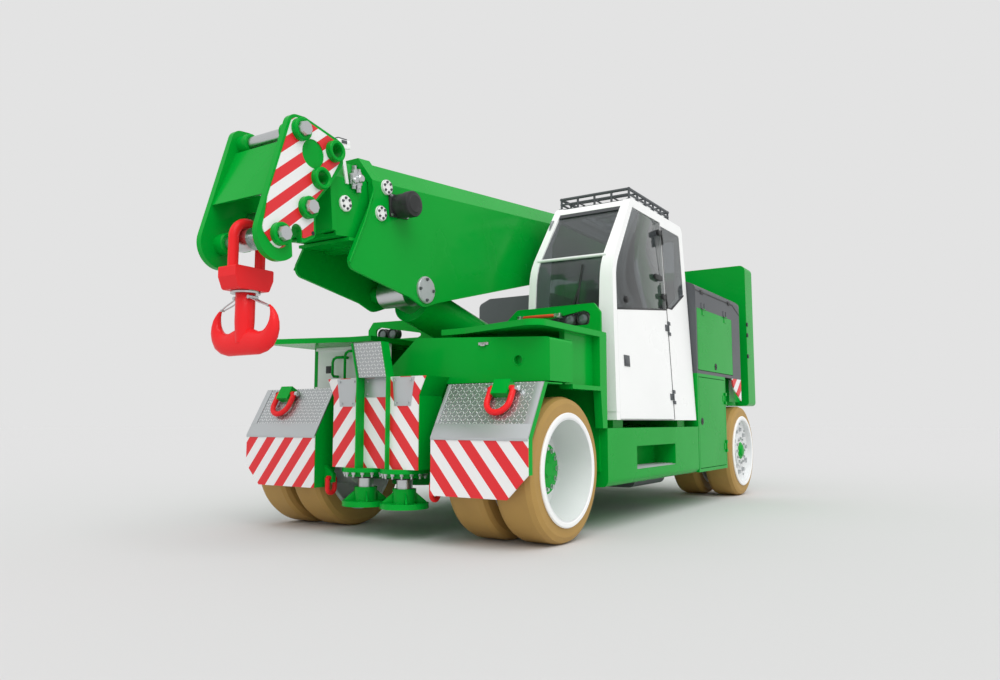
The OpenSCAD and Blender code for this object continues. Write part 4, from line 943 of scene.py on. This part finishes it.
@dataclass
class Cab:
    """Trim, fittings, roof guard and seat of the cab.

    Attributes:
        hinge_x: Line of the door's hinges.
        belt: Height of the glass's lower edge at the hinges.
        belt_fall: Fall of that edge for each millimetre forward.
        top: Height of the glass's upper edge.
        panel_hinges: Heights of the hinges on the white panel.
        glass_hinges: Heights of the clamps on the glass.
        seat: Seat's place along and across the machine, and the floor's height.
        guard_x: Rear and front of the roof guard.
        guard_y: Its inner and outer side.
        roof: Height of the roof.
        rails: Heights of the guard's two frames over the roof.
        crown: Rise of the seat pads at their middle, in metres.
        front: Side view of the cab's front, as places along the machine and heights from the foot to the roof.
        pane: Outline of the door's pane, as places along the machine and heights up the side.
        pads: Name, half width and side view of the seat pads, from the seat's place on the floor.
    """

    hinge_x: float = -1988.0
    belt: float = 975.0
    belt_fall: float = 0.112
    top: float = 1756.0
    panel_hinges: tuple[float, ...] = (200.0, 805.0)
    glass_hinges: tuple[float, ...] = (1080.0, 1660.0)
    seat: Point = (-1950.0, 800.0, 860.0)
    guard_x: Pair = (-2300.0, -1402.0)
    guard_y: Pair = (446.0, 1084.0)
    roof: float = 2640.0
    rails: Pair = (50.0, 95.0)
    crown: float = 0.012
    front: Line = (
        (-788, 862), (-850, 1640), (-870, 1890), (-878, 1945), (-894, 2001), (-918, 2054), (-950, 2106),
        (-1317, 2603), (-1346, 2629), (-1390, 2640))
    pane: Line = (
        (-1985, 974), (-924, 857), (-938, 1060), (-962, 1160), (-1000, 1250), (-1046, 1320), (-1374, 1760),
        (-1985, 1760))
    pads: tuple[tuple[str, float, Line], ...] = (
        ("seat_cushion", 238, ((-235, 348), (255, 348), (262, 430), (225, 462), (-225, 446))),
        ("seat_backrest", 226, ((-165, 452), (-262, 452), (-392, 1080), (-372, 1120), (-285, 1120), (-262, 1080))))

    def on_belt(self, x: float, out: float, up: float) -> Vector:
        """Returns a point of the cab's side that follows the belt line, which falls from the hinges."""
        return cab_side(x, out, up - self.belt_fall * (x - self.hinge_x))

    def seals(self) -> None:
        """Runs the black seals along the hinge line and round the quarter glass."""
        x, form = self.hinge_x, Form()
        form.brick((x - 15, -8, self.belt + 16), (x - 4, 2, self.top - 20), 1.0, cab_side)
        form.brick((x - 14, -8, 6), (x - 3, 2, self.belt + 20), 1.0, cab_side)
        cut = [(-2006, 1001), (-2127, 1001), (-2474, 1173), (-2474, 1160), (-2130, 988), (-2006, 988)]
        form.prism([cab_side(along, 1.5, up) for along, up in cut], cab_side(0, -6, 0) - cab_side(0, 1.5, 0))
        form.piece("cab_side_seals", BLACK)
        belt = ((x + 6, -14, self.belt - 9), (-862, 1.5, self.belt + 5), 1.0)
        blocks("door_belt_seal", BLACK, [belt], "cab_door", self.on_belt)

    def barrel(self, form: Form, out: float, low: float, high: float, diameter: float) -> None:
        """Adds a barrel of the hinge line to a form, some way out from the face of the door."""
        form.rod(cab_side(self.hinge_x, out, low), cab_side(self.hinge_x, out, high), diameter, 20)

    def hinges(self) -> None:
        """Covers the hinges with their grey leaves and clamps the glass."""
        x, (moving, fixed, clamps, posts) = self.hinge_x, [Form() for _ in range(4)]
        for z in self.panel_hinges:
            moving.brick((x + 2, 0.2, z - 29), (x + 62, 6.5, z + 29), 1.5, cab_side)
            self.barrel(moving, 8, z - 29, z + 29, 17)
            for low, high in ((z - 61, z - 31), (z + 31, z + 61)):
                fixed.brick((x - 62, 0.2, low), (x - 3, 6.5, high), 1.5, cab_side)
                self.barrel(fixed, 8, low, high, 17)
        for z in self.glass_hinges:
            clamps.turned(disc(27, 20, (7, 6), -4.5), cab_side(x + 74, 0, z), CAB_OUT, 28)
            clamps.brick((x + 4, 1, z - 16), (x + 74, 12, z + 16), 3, cab_side)
            self.barrel(clamps, 8, z - 34, z + 34, 14)
            posts.brick((x - 34, -4, z - 96), (x - 4, 5, z - 40), 2, cab_side)
            self.barrel(posts, 10, z - 100, z - 38, 18)
        moving.piece("door_hinge_leaves", GREY, "cab_door")
        fixed.piece("post_hinge_leaves", GREY)
        clamps.piece("glass_clamps", BLACK, "cab_door")
        posts.piece("glass_clamp_posts", BLACK)

    def door_fittings(self) -> None:
        """Adds the latch plate, the handle and the knob of the door."""
        latch = [((-1092, 0.2, 412), (-985, 5, 500), 2.5), ((-1078, 4, 428), (-999, 11, 462), 4)]
        blocks("door_latch_plate", GREY, latch, "cab_door", cab_side)
        form = Form()
        form.brick((-1905, -4.5, 1212), (-1745, 22, 1262), 12, cab_side)
        knob = [(0, 22), (16, 22), (25, 15), (27, 0), (27, -4.5), (0, -4.5)]
        form.turned(knob, cab_side(-1108, 0, 950), CAB_OUT, 32)
        form.piece("door_handle", BLACK, "cab_door")

    def pillar(self, name: str, inner: float, outer: float, leaning: bool) -> None:
        """Makes a pillar that follows the curved front.

        Args:
            name: Name of the piece.
            inner: Inner edge across the machine.
            outer: Outer edge, at the cab's foot where it leans.
            leaning: Whether the outer edge follows the leaning side.
        """
        line = [Vector(point) for point in self.front]
        skin, core = [], []
        for index, point in enumerate(line):
            run = line[min(index + 1, len(line) - 1)] - line[max(index - 1, 0)]
            out = Vector((run.y, -run.x)).normalized()
            skin.append(point + out * 4)
            core.append(point - out * 62)
        form = Form()
        form.prism([at(x, inner, z) for x, z in skin + core[::-1]], LEFT * (outer - inner) * MM)
        if leaning:
            for vert in form.bm.verts:
                if vert.co.y > (inner + 1) * MM:
                    vert.co.y -= (vert.co.z - CAB_FOOT_Z * MM) * math.tan(CAB_LEAN)
        form.piece(name, WHITE, smooth_deg=40)

    def windscreen(self) -> None:
        """Frames the windscreen between white pillars, with its dark border, the white bar and the wiper."""
        self.pillar("front_pillar_left", 1058, CAB_FOOT_Y + 3, True)
        self.pillar("front_pillar_right", 427, 492, False)
        border, bar, wiper = Form(), Form(), Form()
        outline = [(-1266, 2530), (-1318, 2604), (-1347, 2631), (-1390, 2643), (-1390, 2634), (-1350, 2622),
                   (-1326, 2598), (-1276, 2524)]
        border.prism([at(x, 491, z) for x, z in outline], LEFT * 568 * MM)
        border.piece("windscreen_border", FRIT, smooth_deg=40)
        bar.rod(at(-940, 470, 2098), at(-938, 1086, 2090), 26, 20)
        bar.piece("windscreen_bar", WHITE)
        arm = [(-834, 770, 1508), (-836, 774, 1535), (-840, 800, 1600), (-850, 850, 1740), (-857, 880, 1830)]
        blade = [(-850, 850, 1600), (-861, 868, 1740), (-876, 886, 1900), (-895, 898, 2020)]
        wiper.swept([at(*point) for point in arm], 13, 10)
        wiper.swept([at(*point) for point in blade], 16, 8)
        wiper.turned([(0, 24), (14, 24), (20, 16), (22, 0), (0, 0)], at(-846, 770, 1512), AHEAD, 24)
        wiper.piece("windscreen_wiper", BLACK, smooth_deg=60)

    def door_pane(self) -> None:
        """Cuts the frameless pane of the door, whose front edge runs behind the pillar."""
        form = Form()
        form.prism([cab_side(x, -4, up) for x, up in self.pane], cab_side(0, -12, 0) - cab_side(0, -4, 0), 1.0)
        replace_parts(form.piece("door_pane", GLASS, "cab_door"), "door_glass")

    def guard(self) -> None:
        """Welds the roof guard from two frames of tube, posts and cross tubes."""
        form, roof, (low, high) = Form(), self.roof, self.rails
        (rear, front), (inner, outer) = self.guard_x, self.guard_y
        for lift, size in ((low, 18), (high, 26)):
            for y in self.guard_y:
                form.rod(at(front + 9, y, roof + lift), at(rear - 9, y, roof + lift), size, 14)
            for x in (front, rear):
                form.rod(at(x, inner - 9, roof + lift), at(x, outer + 9, roof + lift), size, 14)
        for i in range(6):
            x = rear + (front - rear) * i / 5
            for y in self.guard_y:
                form.rod(at(x, y, roof - 2), at(x, y, roof + high), 20, 12)
            form.rod(at(x, inner, roof + high), at(x, outer, roof + high), 18, 12)
        for i in range(1, 4):
            y = inner + (outer - inner) * i / 4
            for x in (front, rear):
                form.rod(at(x, y, roof - 2), at(x, y, roof + high), 20, 12)
            form.rod(at(front, y, roof + low), at(rear, y, roof + low), 14, 10)
        for x in self.guard_x:
            for y in self.guard_y:
                form.turned(disc(30, 12, (14, 7), -3), at(x, y, roof), UP, 20)
        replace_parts(form.piece("roof_guard_frame", GREY), "roof_guard")

    def seat_pads(self) -> None:
        """Upholsters the seat on its pedestal."""
        x, y, floor = self.seat
        pedestal = Form()
        column = [(0, 0), (150, 0), (150, 14), (96, 40), (88, 120), (104, 180), (90, 240), (96, 322), (0, 322)]
        pedestal.turned(column, at(x, y, floor), UP, 28)
        pedestal.brick((x - 240, y - 215, floor + 318), (x + 235, y + 215, floor + 350), 10)
        pedestal.piece("seat_pedestal", BLACK)
        for name, half, outline in self.pads:
            form = Form()
            bm = form.bm
            form.prism([at(x + dx, y - half, floor + dz) for dx, dz in outline], LEFT * 2 * half * MM, 34, 3)
            bmesh.ops.recalc_face_normals(bm, faces=bm.faces)
            bmesh.ops.triangulate(bm, faces=[face for face in bm.faces if len(face.verts) > 4])
            long_edges = [edge for edge in bm.edges if edge.calc_length() > 0.06]
            bmesh.ops.subdivide_edges(bm, edges=long_edges, cuts=3, use_grid_fill=True)
            middle = sum((vert.co for vert in bm.verts), Vector()) / len(bm.verts)
            for vert in bm.verts:
                share = 1 - min(1.0, abs(vert.co.y - middle.y) / (half * MM)) ** 2
                vert.co += vert.normal * self.crown * share
            pad = form.piece(name, LEATHERCLOTH, smooth_deg=70)
            if name == "seat_cushion":
                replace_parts(pad, "operator_seat")

    def build(self) -> None:
        """Builds all of the cab's pieces."""
        self.seals()
        self.hinges()
        self.door_fittings()
        self.windscreen()
        self.door_pane()
        self.guard()
        self.seat_pads()


@dataclass
class Bodywork:
    """Seams, latches and lamps of the side and rear bodywork.

    Attributes:
        side_y: Outer face of the bodywork.
        seam_z: Height of the seam under the hoods' lids.
        seam_front: Front end of the seam.
        hood_rear: Rear end of the hoods.
        hinge_x: Places of the lids' hinges.
        latches: Engine doors with the places and heights of their latches.
        step_y: Middle of the step recesses across the machine.
        tail_x: Rear face of the rear lamps.
        lenses: Finish, name, lower and upper edge of the rear lamps' lenses.
        stops: Heights of the stops on the counterweight's edge.
    """

    side_y: float = 1235.0
    seam_z: float = 2036.0
    seam_front: float = -2584.0
    hood_rear: float = -4030.0
    hinge_x: tuple[float, ...] = (-2760.0, -3640.0)
    latches: tuple[tuple[str, float, float], ...] = (
        ("lower_engine_door", -2690.0, 790.0), ("upper_engine_door", -3150.0, 1330.0))
    step_y: float = 1140.0
    tail_x: float = -4624.0
    lenses: tuple[tuple[Finish, str, float, float], ...] = (
        (LENS_RED, "rear_lamp_red", 1130, 1265), (LENS_AMBER, "rear_lamp_amber", 1275, 1410))
    stops: tuple[float, ...] = (1520.0, 1760.0, 1880.0)

    def hood_seams(self) -> None:
        """Draws the lid's seal round both hoods and adds its hinges."""
        form, face, z, rear = Form(), self.side_y, self.seam_z, self.hood_rear
        line = [(self.seam_front, z), (rear + 250, z), (rear + 6, z - 82), (rear + 6, z - 92), (rear + 252, z - 10),
                (self.seam_front, z - 10)]
        for side in SIDES:
            form.prism([at(x, side * (face - 1), up) for x, up in line], LEFT * side * 4 * MM)
            for x in self.hinge_x:
                form.brick((x - 42, side * (face - 3), z - 26), (x + 42, side * (face + 5), z + 16), 2)
                form.rod(at(x - 42, side * (face + 4), z - 5), at(x + 42, side * (face + 4), z - 5), 14, 16)
        form.piece("hood_lid_seals", BLACK)

    def door_latches(self) -> None:
        """Adds a flush latch to each engine door."""
        rose = [(0, 2), (20, 2), (24, 5), (32, 4), (34, 0), (0, -2)]
        for body, x, z in self.latches:
            form = Form()
            form.turned(rose, at(x, self.side_y, z), LEFT, 32)
            form.brick((x - 18, self.side_y, z - 5), (x + 18, self.side_y + 8, z + 5), 2)
            form.piece(f"{body}_latch", BLACK, body)

    def steps(self) -> None:
        """Lays a ribbed metal tread in each step recess."""
        rows = []
        for side in SIDES:
            middle = side * self.step_y
            rows.append(((-1958, middle - 92, 424), (-1121, middle + 92, 430), 1.5))
            for y in (side * (1070 + 28 * row) for row in range(6)):
                rows.append(((-1930, y - 5, 429), (-1150, y + 5, 436), 2))
        blocks("step_treads", PLATE_GREY, rows)

    def tail(self) -> None:
        """Adds the lenses of the rear lamps and the stops on the counterweight's edge."""
        x, face = self.tail_x, self.side_y
        for finish, name, low, high in self.lenses:
            blocks(name, finish, [((x - 8, y - 70, low), (x + 1, y + 70, high), 6)
                                  for y in (face - 210, 210 - face)])
        blocks("counterweight_stops", BLACK, [((-4362, face - 5, z - 22), (-4318, face + 9, z + 22), 4)
                                              for z in self.stops])

    def build(self) -> None:
        """Builds all of the bodywork's pieces."""
        self.hood_seams()
        self.door_latches()
        self.steps()
        self.tail()


@dataclass
class Boom:
    """Bolted covers, the drum's base and the fittings of the boom and its head.

    Attributes:
        cheek_y: Outer face of the base section's side plates.
        pads: Wear pad covers along and across the boom.
        lug: Cover over the lift pin.
        drum: Middle of the side drum.
        middle_y: Outer face of the middle section.
        middle_pad: Wear pad cover of the middle section.
        head_y: Outer face of the head plates.
        head_in: Inner face of the head plates.
        head_pins: Pins of the head along and across the boom.
        sockets: Jib sockets of the head.
        sleeves: Index of the pin, radius and length of the sleeves inside the head.
        filled_round: Middle and radius of the small round in the striped panel, which is filled.
        open_round: Middle and radius of the round that shows the green head plate.
        weld: Points of the weld along the base section's front edge.
        unions: Place, start, end and size of the pipe unions on the valve.
    """

    cheek_y: float = 245.0
    pads: Line = ((4155.0, 141.0), (4225.0, -42.0))
    lug: Pair = (3789.0, -529.0)
    drum: Pair = (4047.0, 25.0)
    middle_y: float = 197.0
    middle_pad: Pair = (4507.0, -9.0)
    head_y: float = 262.0
    head_in: float = 222.0
    head_pins: Line = ((4925.0, 355.0), (4900.0, -100.0), (5118.0, -278.0))
    sockets: Line = ((4657.0, 278.0), (4788.0, 90.0))
    sleeves: tuple[tuple[int, float, float], ...] = ((0, 60.0, 78.0), (2, 64.0, 68.0))
    filled_round: Point = (4940.0, 190.0, 65.0)
    open_round: Point = (4828.0, 232.0, 87.5)
    weld: Line = (
        (4296, 160), (4280, 112), (4300, 60), (4380, -110), (4470, -270), (4540, -388))
    unions: tuple[tuple[float, float, float, float], ...] = (
        (4392, 122, 74, 32), (4436, 122, 92, 28), (4384, 186, 226, 30), (4424, 186, 244, 34))

    def covers(self) -> None:
        """Bolts down the wear pad covers and the lift pin covers."""
        discs, bolts, lugs, middle, heads = [Form() for _ in range(5)]
        # Meshes of cover and bolts; place, face, height, radius, chamfer; bolts' number, circle and width
        rows = [(discs, bolts, pad, self.cheek_y, 16, 51, (7, 5), 6, 34, 15) for pad in self.pads]
        rows += [(lugs, bolts, self.lug, self.cheek_y, 17, 96, (8, 6), 4, 74, 20),
                 (middle, heads, self.middle_pad, self.middle_y, 17, 51, (7, 5), 6, 34, 15)]
        for side in SIDES:
            out = LEFT * side
            for cover, screws, (x, z), face, height, radius, chamfer, count, circle, across in rows:
                steps = 48 if cover is lugs else 36
                cover.turned(disc(radius, height, chamfer), boom(x, side * face, z), out, steps)
                screws.bolts(ring_points(count, circle, boom(x, side * (face + height), z), out), out, across)
        discs.piece("wear_pad_covers", WHITE, "boom")
        bolts.piece("wear_pad_bolts", GREY, "boom")
        lugs.piece("lift_pin_covers", PLATE_GREY, "boom")
        heads.piece("middle_pad_bolts", GREY, "boom_middle")
        middle.piece("middle_pad_covers", WHITE, "boom_middle")

    def drum_base(self) -> None:
        """Sets the drum on its flanged base with a ribbed cover."""
        (x, z), face = self.drum, self.cheek_y
        cover, bolts = Form(), Form()
        cover.brick((x - 92, face, z - 78), (x + 92, face + 16, z + 78), 4, boom)
        profile = [(0, 158), (58, 158), (66, 152), (84, 148), (88, 140), (88, 96), (82, 90), (82, 22), (78, 16),
                   (0, 16)]
        cover.turned(profile, boom(x, face, z), LEFT, 56)
        cover.piece("drum_cover", BLACK, "boom")
        bolts.bolts([boom(x + dx, face + 16, z + dz) for dx in (-78, 78) for dz in (-64, 64)], LEFT, 16)
        bolts.piece("drum_bolts", STEEL, "boom")

    def collar(self) -> None:
        """Runs the weld along the front edge of the base section."""
        form = Form()
        for side in SIDES:
            form.swept([boom(x, side * (self.cheek_y + 1), z) for x, z in self.weld], 16, 10)
        form.piece("collar_weld", GREEN, "boom", 60)

    def side_fittings(self) -> None:
        """Adds the valve with its unions and the bracket with the sensor box on the middle section."""
        valve, bracket = Form(), Form()
        valve.brick((4370, 195, 118), (4462, 232, 190), 5, boom)
        valve.turned(disc(27, 26, (7, 8)), boom(4396, 232, 160), LEFT, 24)
        valve.turned(disc(21, 20, (6, 8)), boom(4440, 232, 142), LEFT, 24)
        for x, z0, z1, size in self.unions:
            valve.rod(boom(x, 213, z0), boom(x, 213, z1), size, 6)
            valve.rod(boom(x, 213, z0), boom(x, 213, (z0 + z1) / 2), size * 1.3, 16)
        valve.piece("boom_valve", STEEL, "boom_middle")
        plate = ((4470, 120), (4496, 120), (4534, 372), (4440, 372), (4440, 348), (4500, 340))
        bracket.prism([boom(x, 196, z) for x, z in plate], LEFT * 12 * MM, 2)
        bracket.brick((4440, 118, 366), (4552, 208, 400), 5, boom)
        bracket.piece("sensor_bracket", WHITE, "boom_middle")
        box = [((4456, 128, 398), (4540, 198, 412), 4), ((4474, 206, 374), (4520, 214, 394), 3)]
        blocks("sensor_box", GREY, box, "boom_middle", boom)

    def head(self) -> None:
        """Adds the pins' ends, the socket rims, the sleeves inside the head and black discs that paint the shade in
        the panel holes.
        """
        ends, rims, hole_shades = Form(), Form(), Form()
        socket = [(43, 0), (66, 0), (66, 40), (61, 46), (48, 46), (43, 40), (43, 0)]
        for side in SIDES:
            out = LEFT * side
            for x, z in self.head_pins:
                start = boom(x, side * (self.head_y + 42), z)
                ends.rod(start, start + out * 26 * MM, 92, 8, 82)
                rims.turned(ring(47, 66, 42, (6, 6)), boom(x, side * self.head_y, z), out, 40)
            for x, z in self.sockets:
                rims.turned(socket, boom(x, side * self.head_y, z), out, 40)
            for index, radius, length in self.sleeves:
                x, z = self.head_pins[index]
                rims.turned(ring(39, radius, length, (8, 8)), boom(x, side * self.head_in, z), -out, 36)
            # Thin black discs on the striped panels: painted shade standing in for the dark inside of the holes.
            hole = [(0, 1.5), (13, 1.5), (13, 0), (0, 0)]
            hole_shades.turned(hole, boom(4860, side * (self.head_y + 5.5), -246), out, 24)
        hole_shades.piece("head_panel_hole_shades", BLACK, "boom_inner")
        self.panel_patch()
        ends.piece("head_pin_ends", STEEL, "boom_inner")
        rims.piece("head_boss_rims", GREEN, "boom_inner")

    def panel_patch(self) -> None:
        """Fills the smaller round of the striped panels with a moon-shaped patch, so that one disc stays green."""
        (near_x, near_z, near_r), (disc_x, disc_z, disc_r) = self.filled_round, self.open_round
        gap = Vector((disc_x - near_x, disc_z - near_z))
        heading, span, steps = math.atan2(gap.y, gap.x), gap.length, 24
        near = math.acos((near_r ** 2 + span ** 2 - disc_r ** 2) / (2 * near_r * span))
        far = math.acos((disc_r ** 2 + span ** 2 - near_r ** 2) / (2 * disc_r * span))
        outline = []
        for step in range(steps + 1):
            turn = heading + near + (math.tau - 2 * near) * step / steps
            outline.append((near_x + near_r * math.cos(turn), near_z + near_r * math.sin(turn)))
        for step in range(1, steps):
            turn = heading + math.pi + far - 2 * far * step / steps
            outline.append((disc_x + disc_r * math.cos(turn), disc_z + disc_r * math.sin(turn)))
        form = Form()
        for side in SIDES:
            form.prism([boom(x, side * self.head_y, z) for x, z in outline], LEFT * side * 6 * MM)
        form.piece("head_panel_patch", HEAD_STRIPES, "boom_inner")

    def build(self) -> None:
        """Builds all of the boom's pieces."""
        self.covers()
        self.drum_base()
        self.collar()
        self.side_fittings()
        self.head()


@dataclass
class Hook:
    """The forged double hook and its safety catches.

    Attributes:
        pin: Hook pin along and across the boom.
        sections: One half of the forging from its middle to the tip: place across and below the pin, direction of
            the section's width in degrees, half width and half thickness.
        shank: Radius of the shank and its upper and lower ends below the pin.
        bearing: Height of the bearing ring from the pin.
    """

    pin: Pair = (5118.0, -278.0)
    sections: tuple[tuple[float, float, float, float, float], ...] = (
        (0, -604, -90, 66, 44), (60, -594, -94, 76, 44), (126, -604, -88, 66, 42), (172, -596, -74, 62, 41),
        (205, -580, -60, 57, 39), (230, -551, -44, 49, 36), (244, -520, -30, 40, 33), (249, -488, -15, 31, 28),
        (245, -455, 0, 22, 23), (236, -432, 14, 15, 17), (222, -410, 28, 9, 11), (206, -394, 42, 4, 5))
    shank: Point = (56.0, -300.0, -600.0)
    bearing: float = -300.5

    def below(self, x: float, y: float, z: float) -> Vector:
        """Returns a point of the hanging hook in millimetres from its pin."""
        return boom(self.pin[0], 0, self.pin[1]) + Vector((x, y, z)) * MM

    def forging(self) -> None:
        """Lofts the two horns in one run from tip to tip, round the shank."""
        places = []
        for side, rows in ((-1, self.sections[:0:-1]), (1, self.sections)):
            for y, z, angle, width, thick in rows:
                wide = Vector((0, side * math.cos(math.radians(angle)), math.sin(math.radians(angle))))
                axes = (wide * width * MM, AHEAD * thick * MM, wide.cross(AHEAD) * MM)
                place = Matrix.Translation(self.below(0, side * y, z))
                places.append(place @ Matrix(axes).transposed().to_4x4())
        form = Form()
        form.lofted(places, 28)
        radius, top, foot = self.shank
        profile = [(0, top), (radius - 4, top), (radius, top - 4), (radius, foot + 120), (radius - 8, foot), (0, foot)]
        form.turned(profile, self.below(0, 0, 0), UP, 32)
        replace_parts(form.piece("hook_forging", RED, "hook", 50), "hook_horns")

    def catches(self) -> None:
        """Springs a steel catch across each throat and sets the bearing ring on the shank."""
        form, bearing = Form(), Form()
        for side in SIDES:
            for x in (-18, 18):
                wire = [(x, 54, -338), (x, 76, -350), (x, 140, -376), (x * 0.5, 200, -398)]
                form.swept([self.below(dx, side * y, z) for dx, y, z in wire], 9, 8)
            form.rod(self.below(-34, side * 62, -340), self.below(34, side * 62, -340), 22, 14)
            form.rod(self.below(-12, side * 200, -398), self.below(12, side * 200, -398), 14, 10)
        form.piece("hook_catches", STEEL, "hook", 60)
        profile = [(57, 0), (80, 0), (84, -6), (84, -16), (57, -16), (57, 0)]
        bearing.turned(profile, self.below(0, 0, self.bearing), UP, 36)
        bearing.piece("hook_bearing_ring", STEEL, "hook")

    def build(self) -> None:
        """Builds all of the hook's pieces."""
        self.forging()
        self.catches()


@dataclass
class Studio:
    """Pale floor, soft lights and the camera, which looks up at the machine from its front left.

    Attributes:
        eye: Camera place in millimetres from the front axle.
        heading: Direction that the camera looks in, degrees about the vertical.
        pitch: Upward tilt of the camera in degrees.
        lens: Focal length in millimetres.
        sensor: Width of the sensor in millimetres.
        reach: Distance up to which the camera sees, in metres.
        backdrop: Colour of the surroundings.
        paper: Colour of the floor, which the lights bring up to the backdrop's.
        floor_half: Half width of the floor in metres.
        floor_drop: Depth of the floor under the tyres in metres.
        sun_from: Direction that the main light comes from.
        sun_strength: Its strength.
        sun_width: Its angle in degrees, wide enough for soft shadows.
    """

    eye: Point = (4549.2, 3626.1, 788.4)
    heading: float = 212.76
    pitch: float = 5.97
    lens: float = 28.04
    sensor: float = 36.0
    reach: float = 500.0
    backdrop: str = "#e3e3e3"
    paper: str = "#d4d4d4"
    floor_half: float = 120.0
    floor_drop: float = 0.0005
    sun_from: Point = (3.0, 3.4, 6.0)
    sun_strength: float = 1.5
    sun_width: float = 50.0

    def camera(self) -> None:
        """Sets up the camera of the photograph."""
        data = bpy.data.cameras.new("camera")
        data.sensor_width = self.sensor
        data.lens = self.lens
        data.clip_end = self.reach
        camera = add_object("camera", data)
        camera.location = at(*self.eye)
        camera.rotation_euler = Euler((math.radians(90 + self.pitch), 0.0, math.radians(self.heading - 90)))
        bpy.context.scene.camera = camera

    def floor(self) -> None:
        """Lays the plain pale floor."""
        bm = bmesh.new()
        bmesh.ops.create_grid(bm, x_segments=1, y_segments=1, size=self.floor_half)
        bmesh.ops.translate(bm, vec=(0, 0, -self.floor_drop), verts=bm.verts)
        mesh = bpy.data.meshes.new("studio_floor")
        bm.to_mesh(mesh)
        bm.free()
        mesh.materials.append(Finish("floor_paper", Slot.WHITE, self.paper, 1.0).material())
        add_object("studio_floor", mesh)

    def lights(self) -> None:
        """Adds one wide soft light and a pale surround."""
        world = bpy.data.worlds.new("studio")
        world.use_nodes = True
        sky = world.node_tree.nodes["Background"]
        sky.inputs["Color"].default_value = linear(self.backdrop)
        sky.inputs["Strength"].default_value = 1.0
        bpy.context.scene.world = world
        data = bpy.data.lights.new("key", "SUN")
        data.energy = self.sun_strength
        data.angle = math.radians(self.sun_width)
        turn = Vector(self.sun_from).to_track_quat("Z", "Y").to_euler()
        add_object("key", data).rotation_euler = turn

    def build(self) -> None:
        """Builds floor, lights and camera."""
        bpy.context.scene.view_settings.view_transform = "Standard"
        self.camera()
        self.floor()
        self.lights()


def main() -> None:
    """Builds the scene in order."""
    Studio().build()
    finish_nodes()
    Decks().build()
    for side, name in LEFT_RIGHT:
        Wheel(f"front_{name}", f"front_wheel_{name}", 0.0, side, True).build()
        Wheel(f"rear_{name}", f"rear_wheel_{name}", REAR_AXLE_X, side, False).build()
        Wing(side, name).build()
    Nose().build()
    Cab().build()
    Bodywork().build()
    Boom().build()
    Hook().build()


if __name__ == "__main__":
    main()
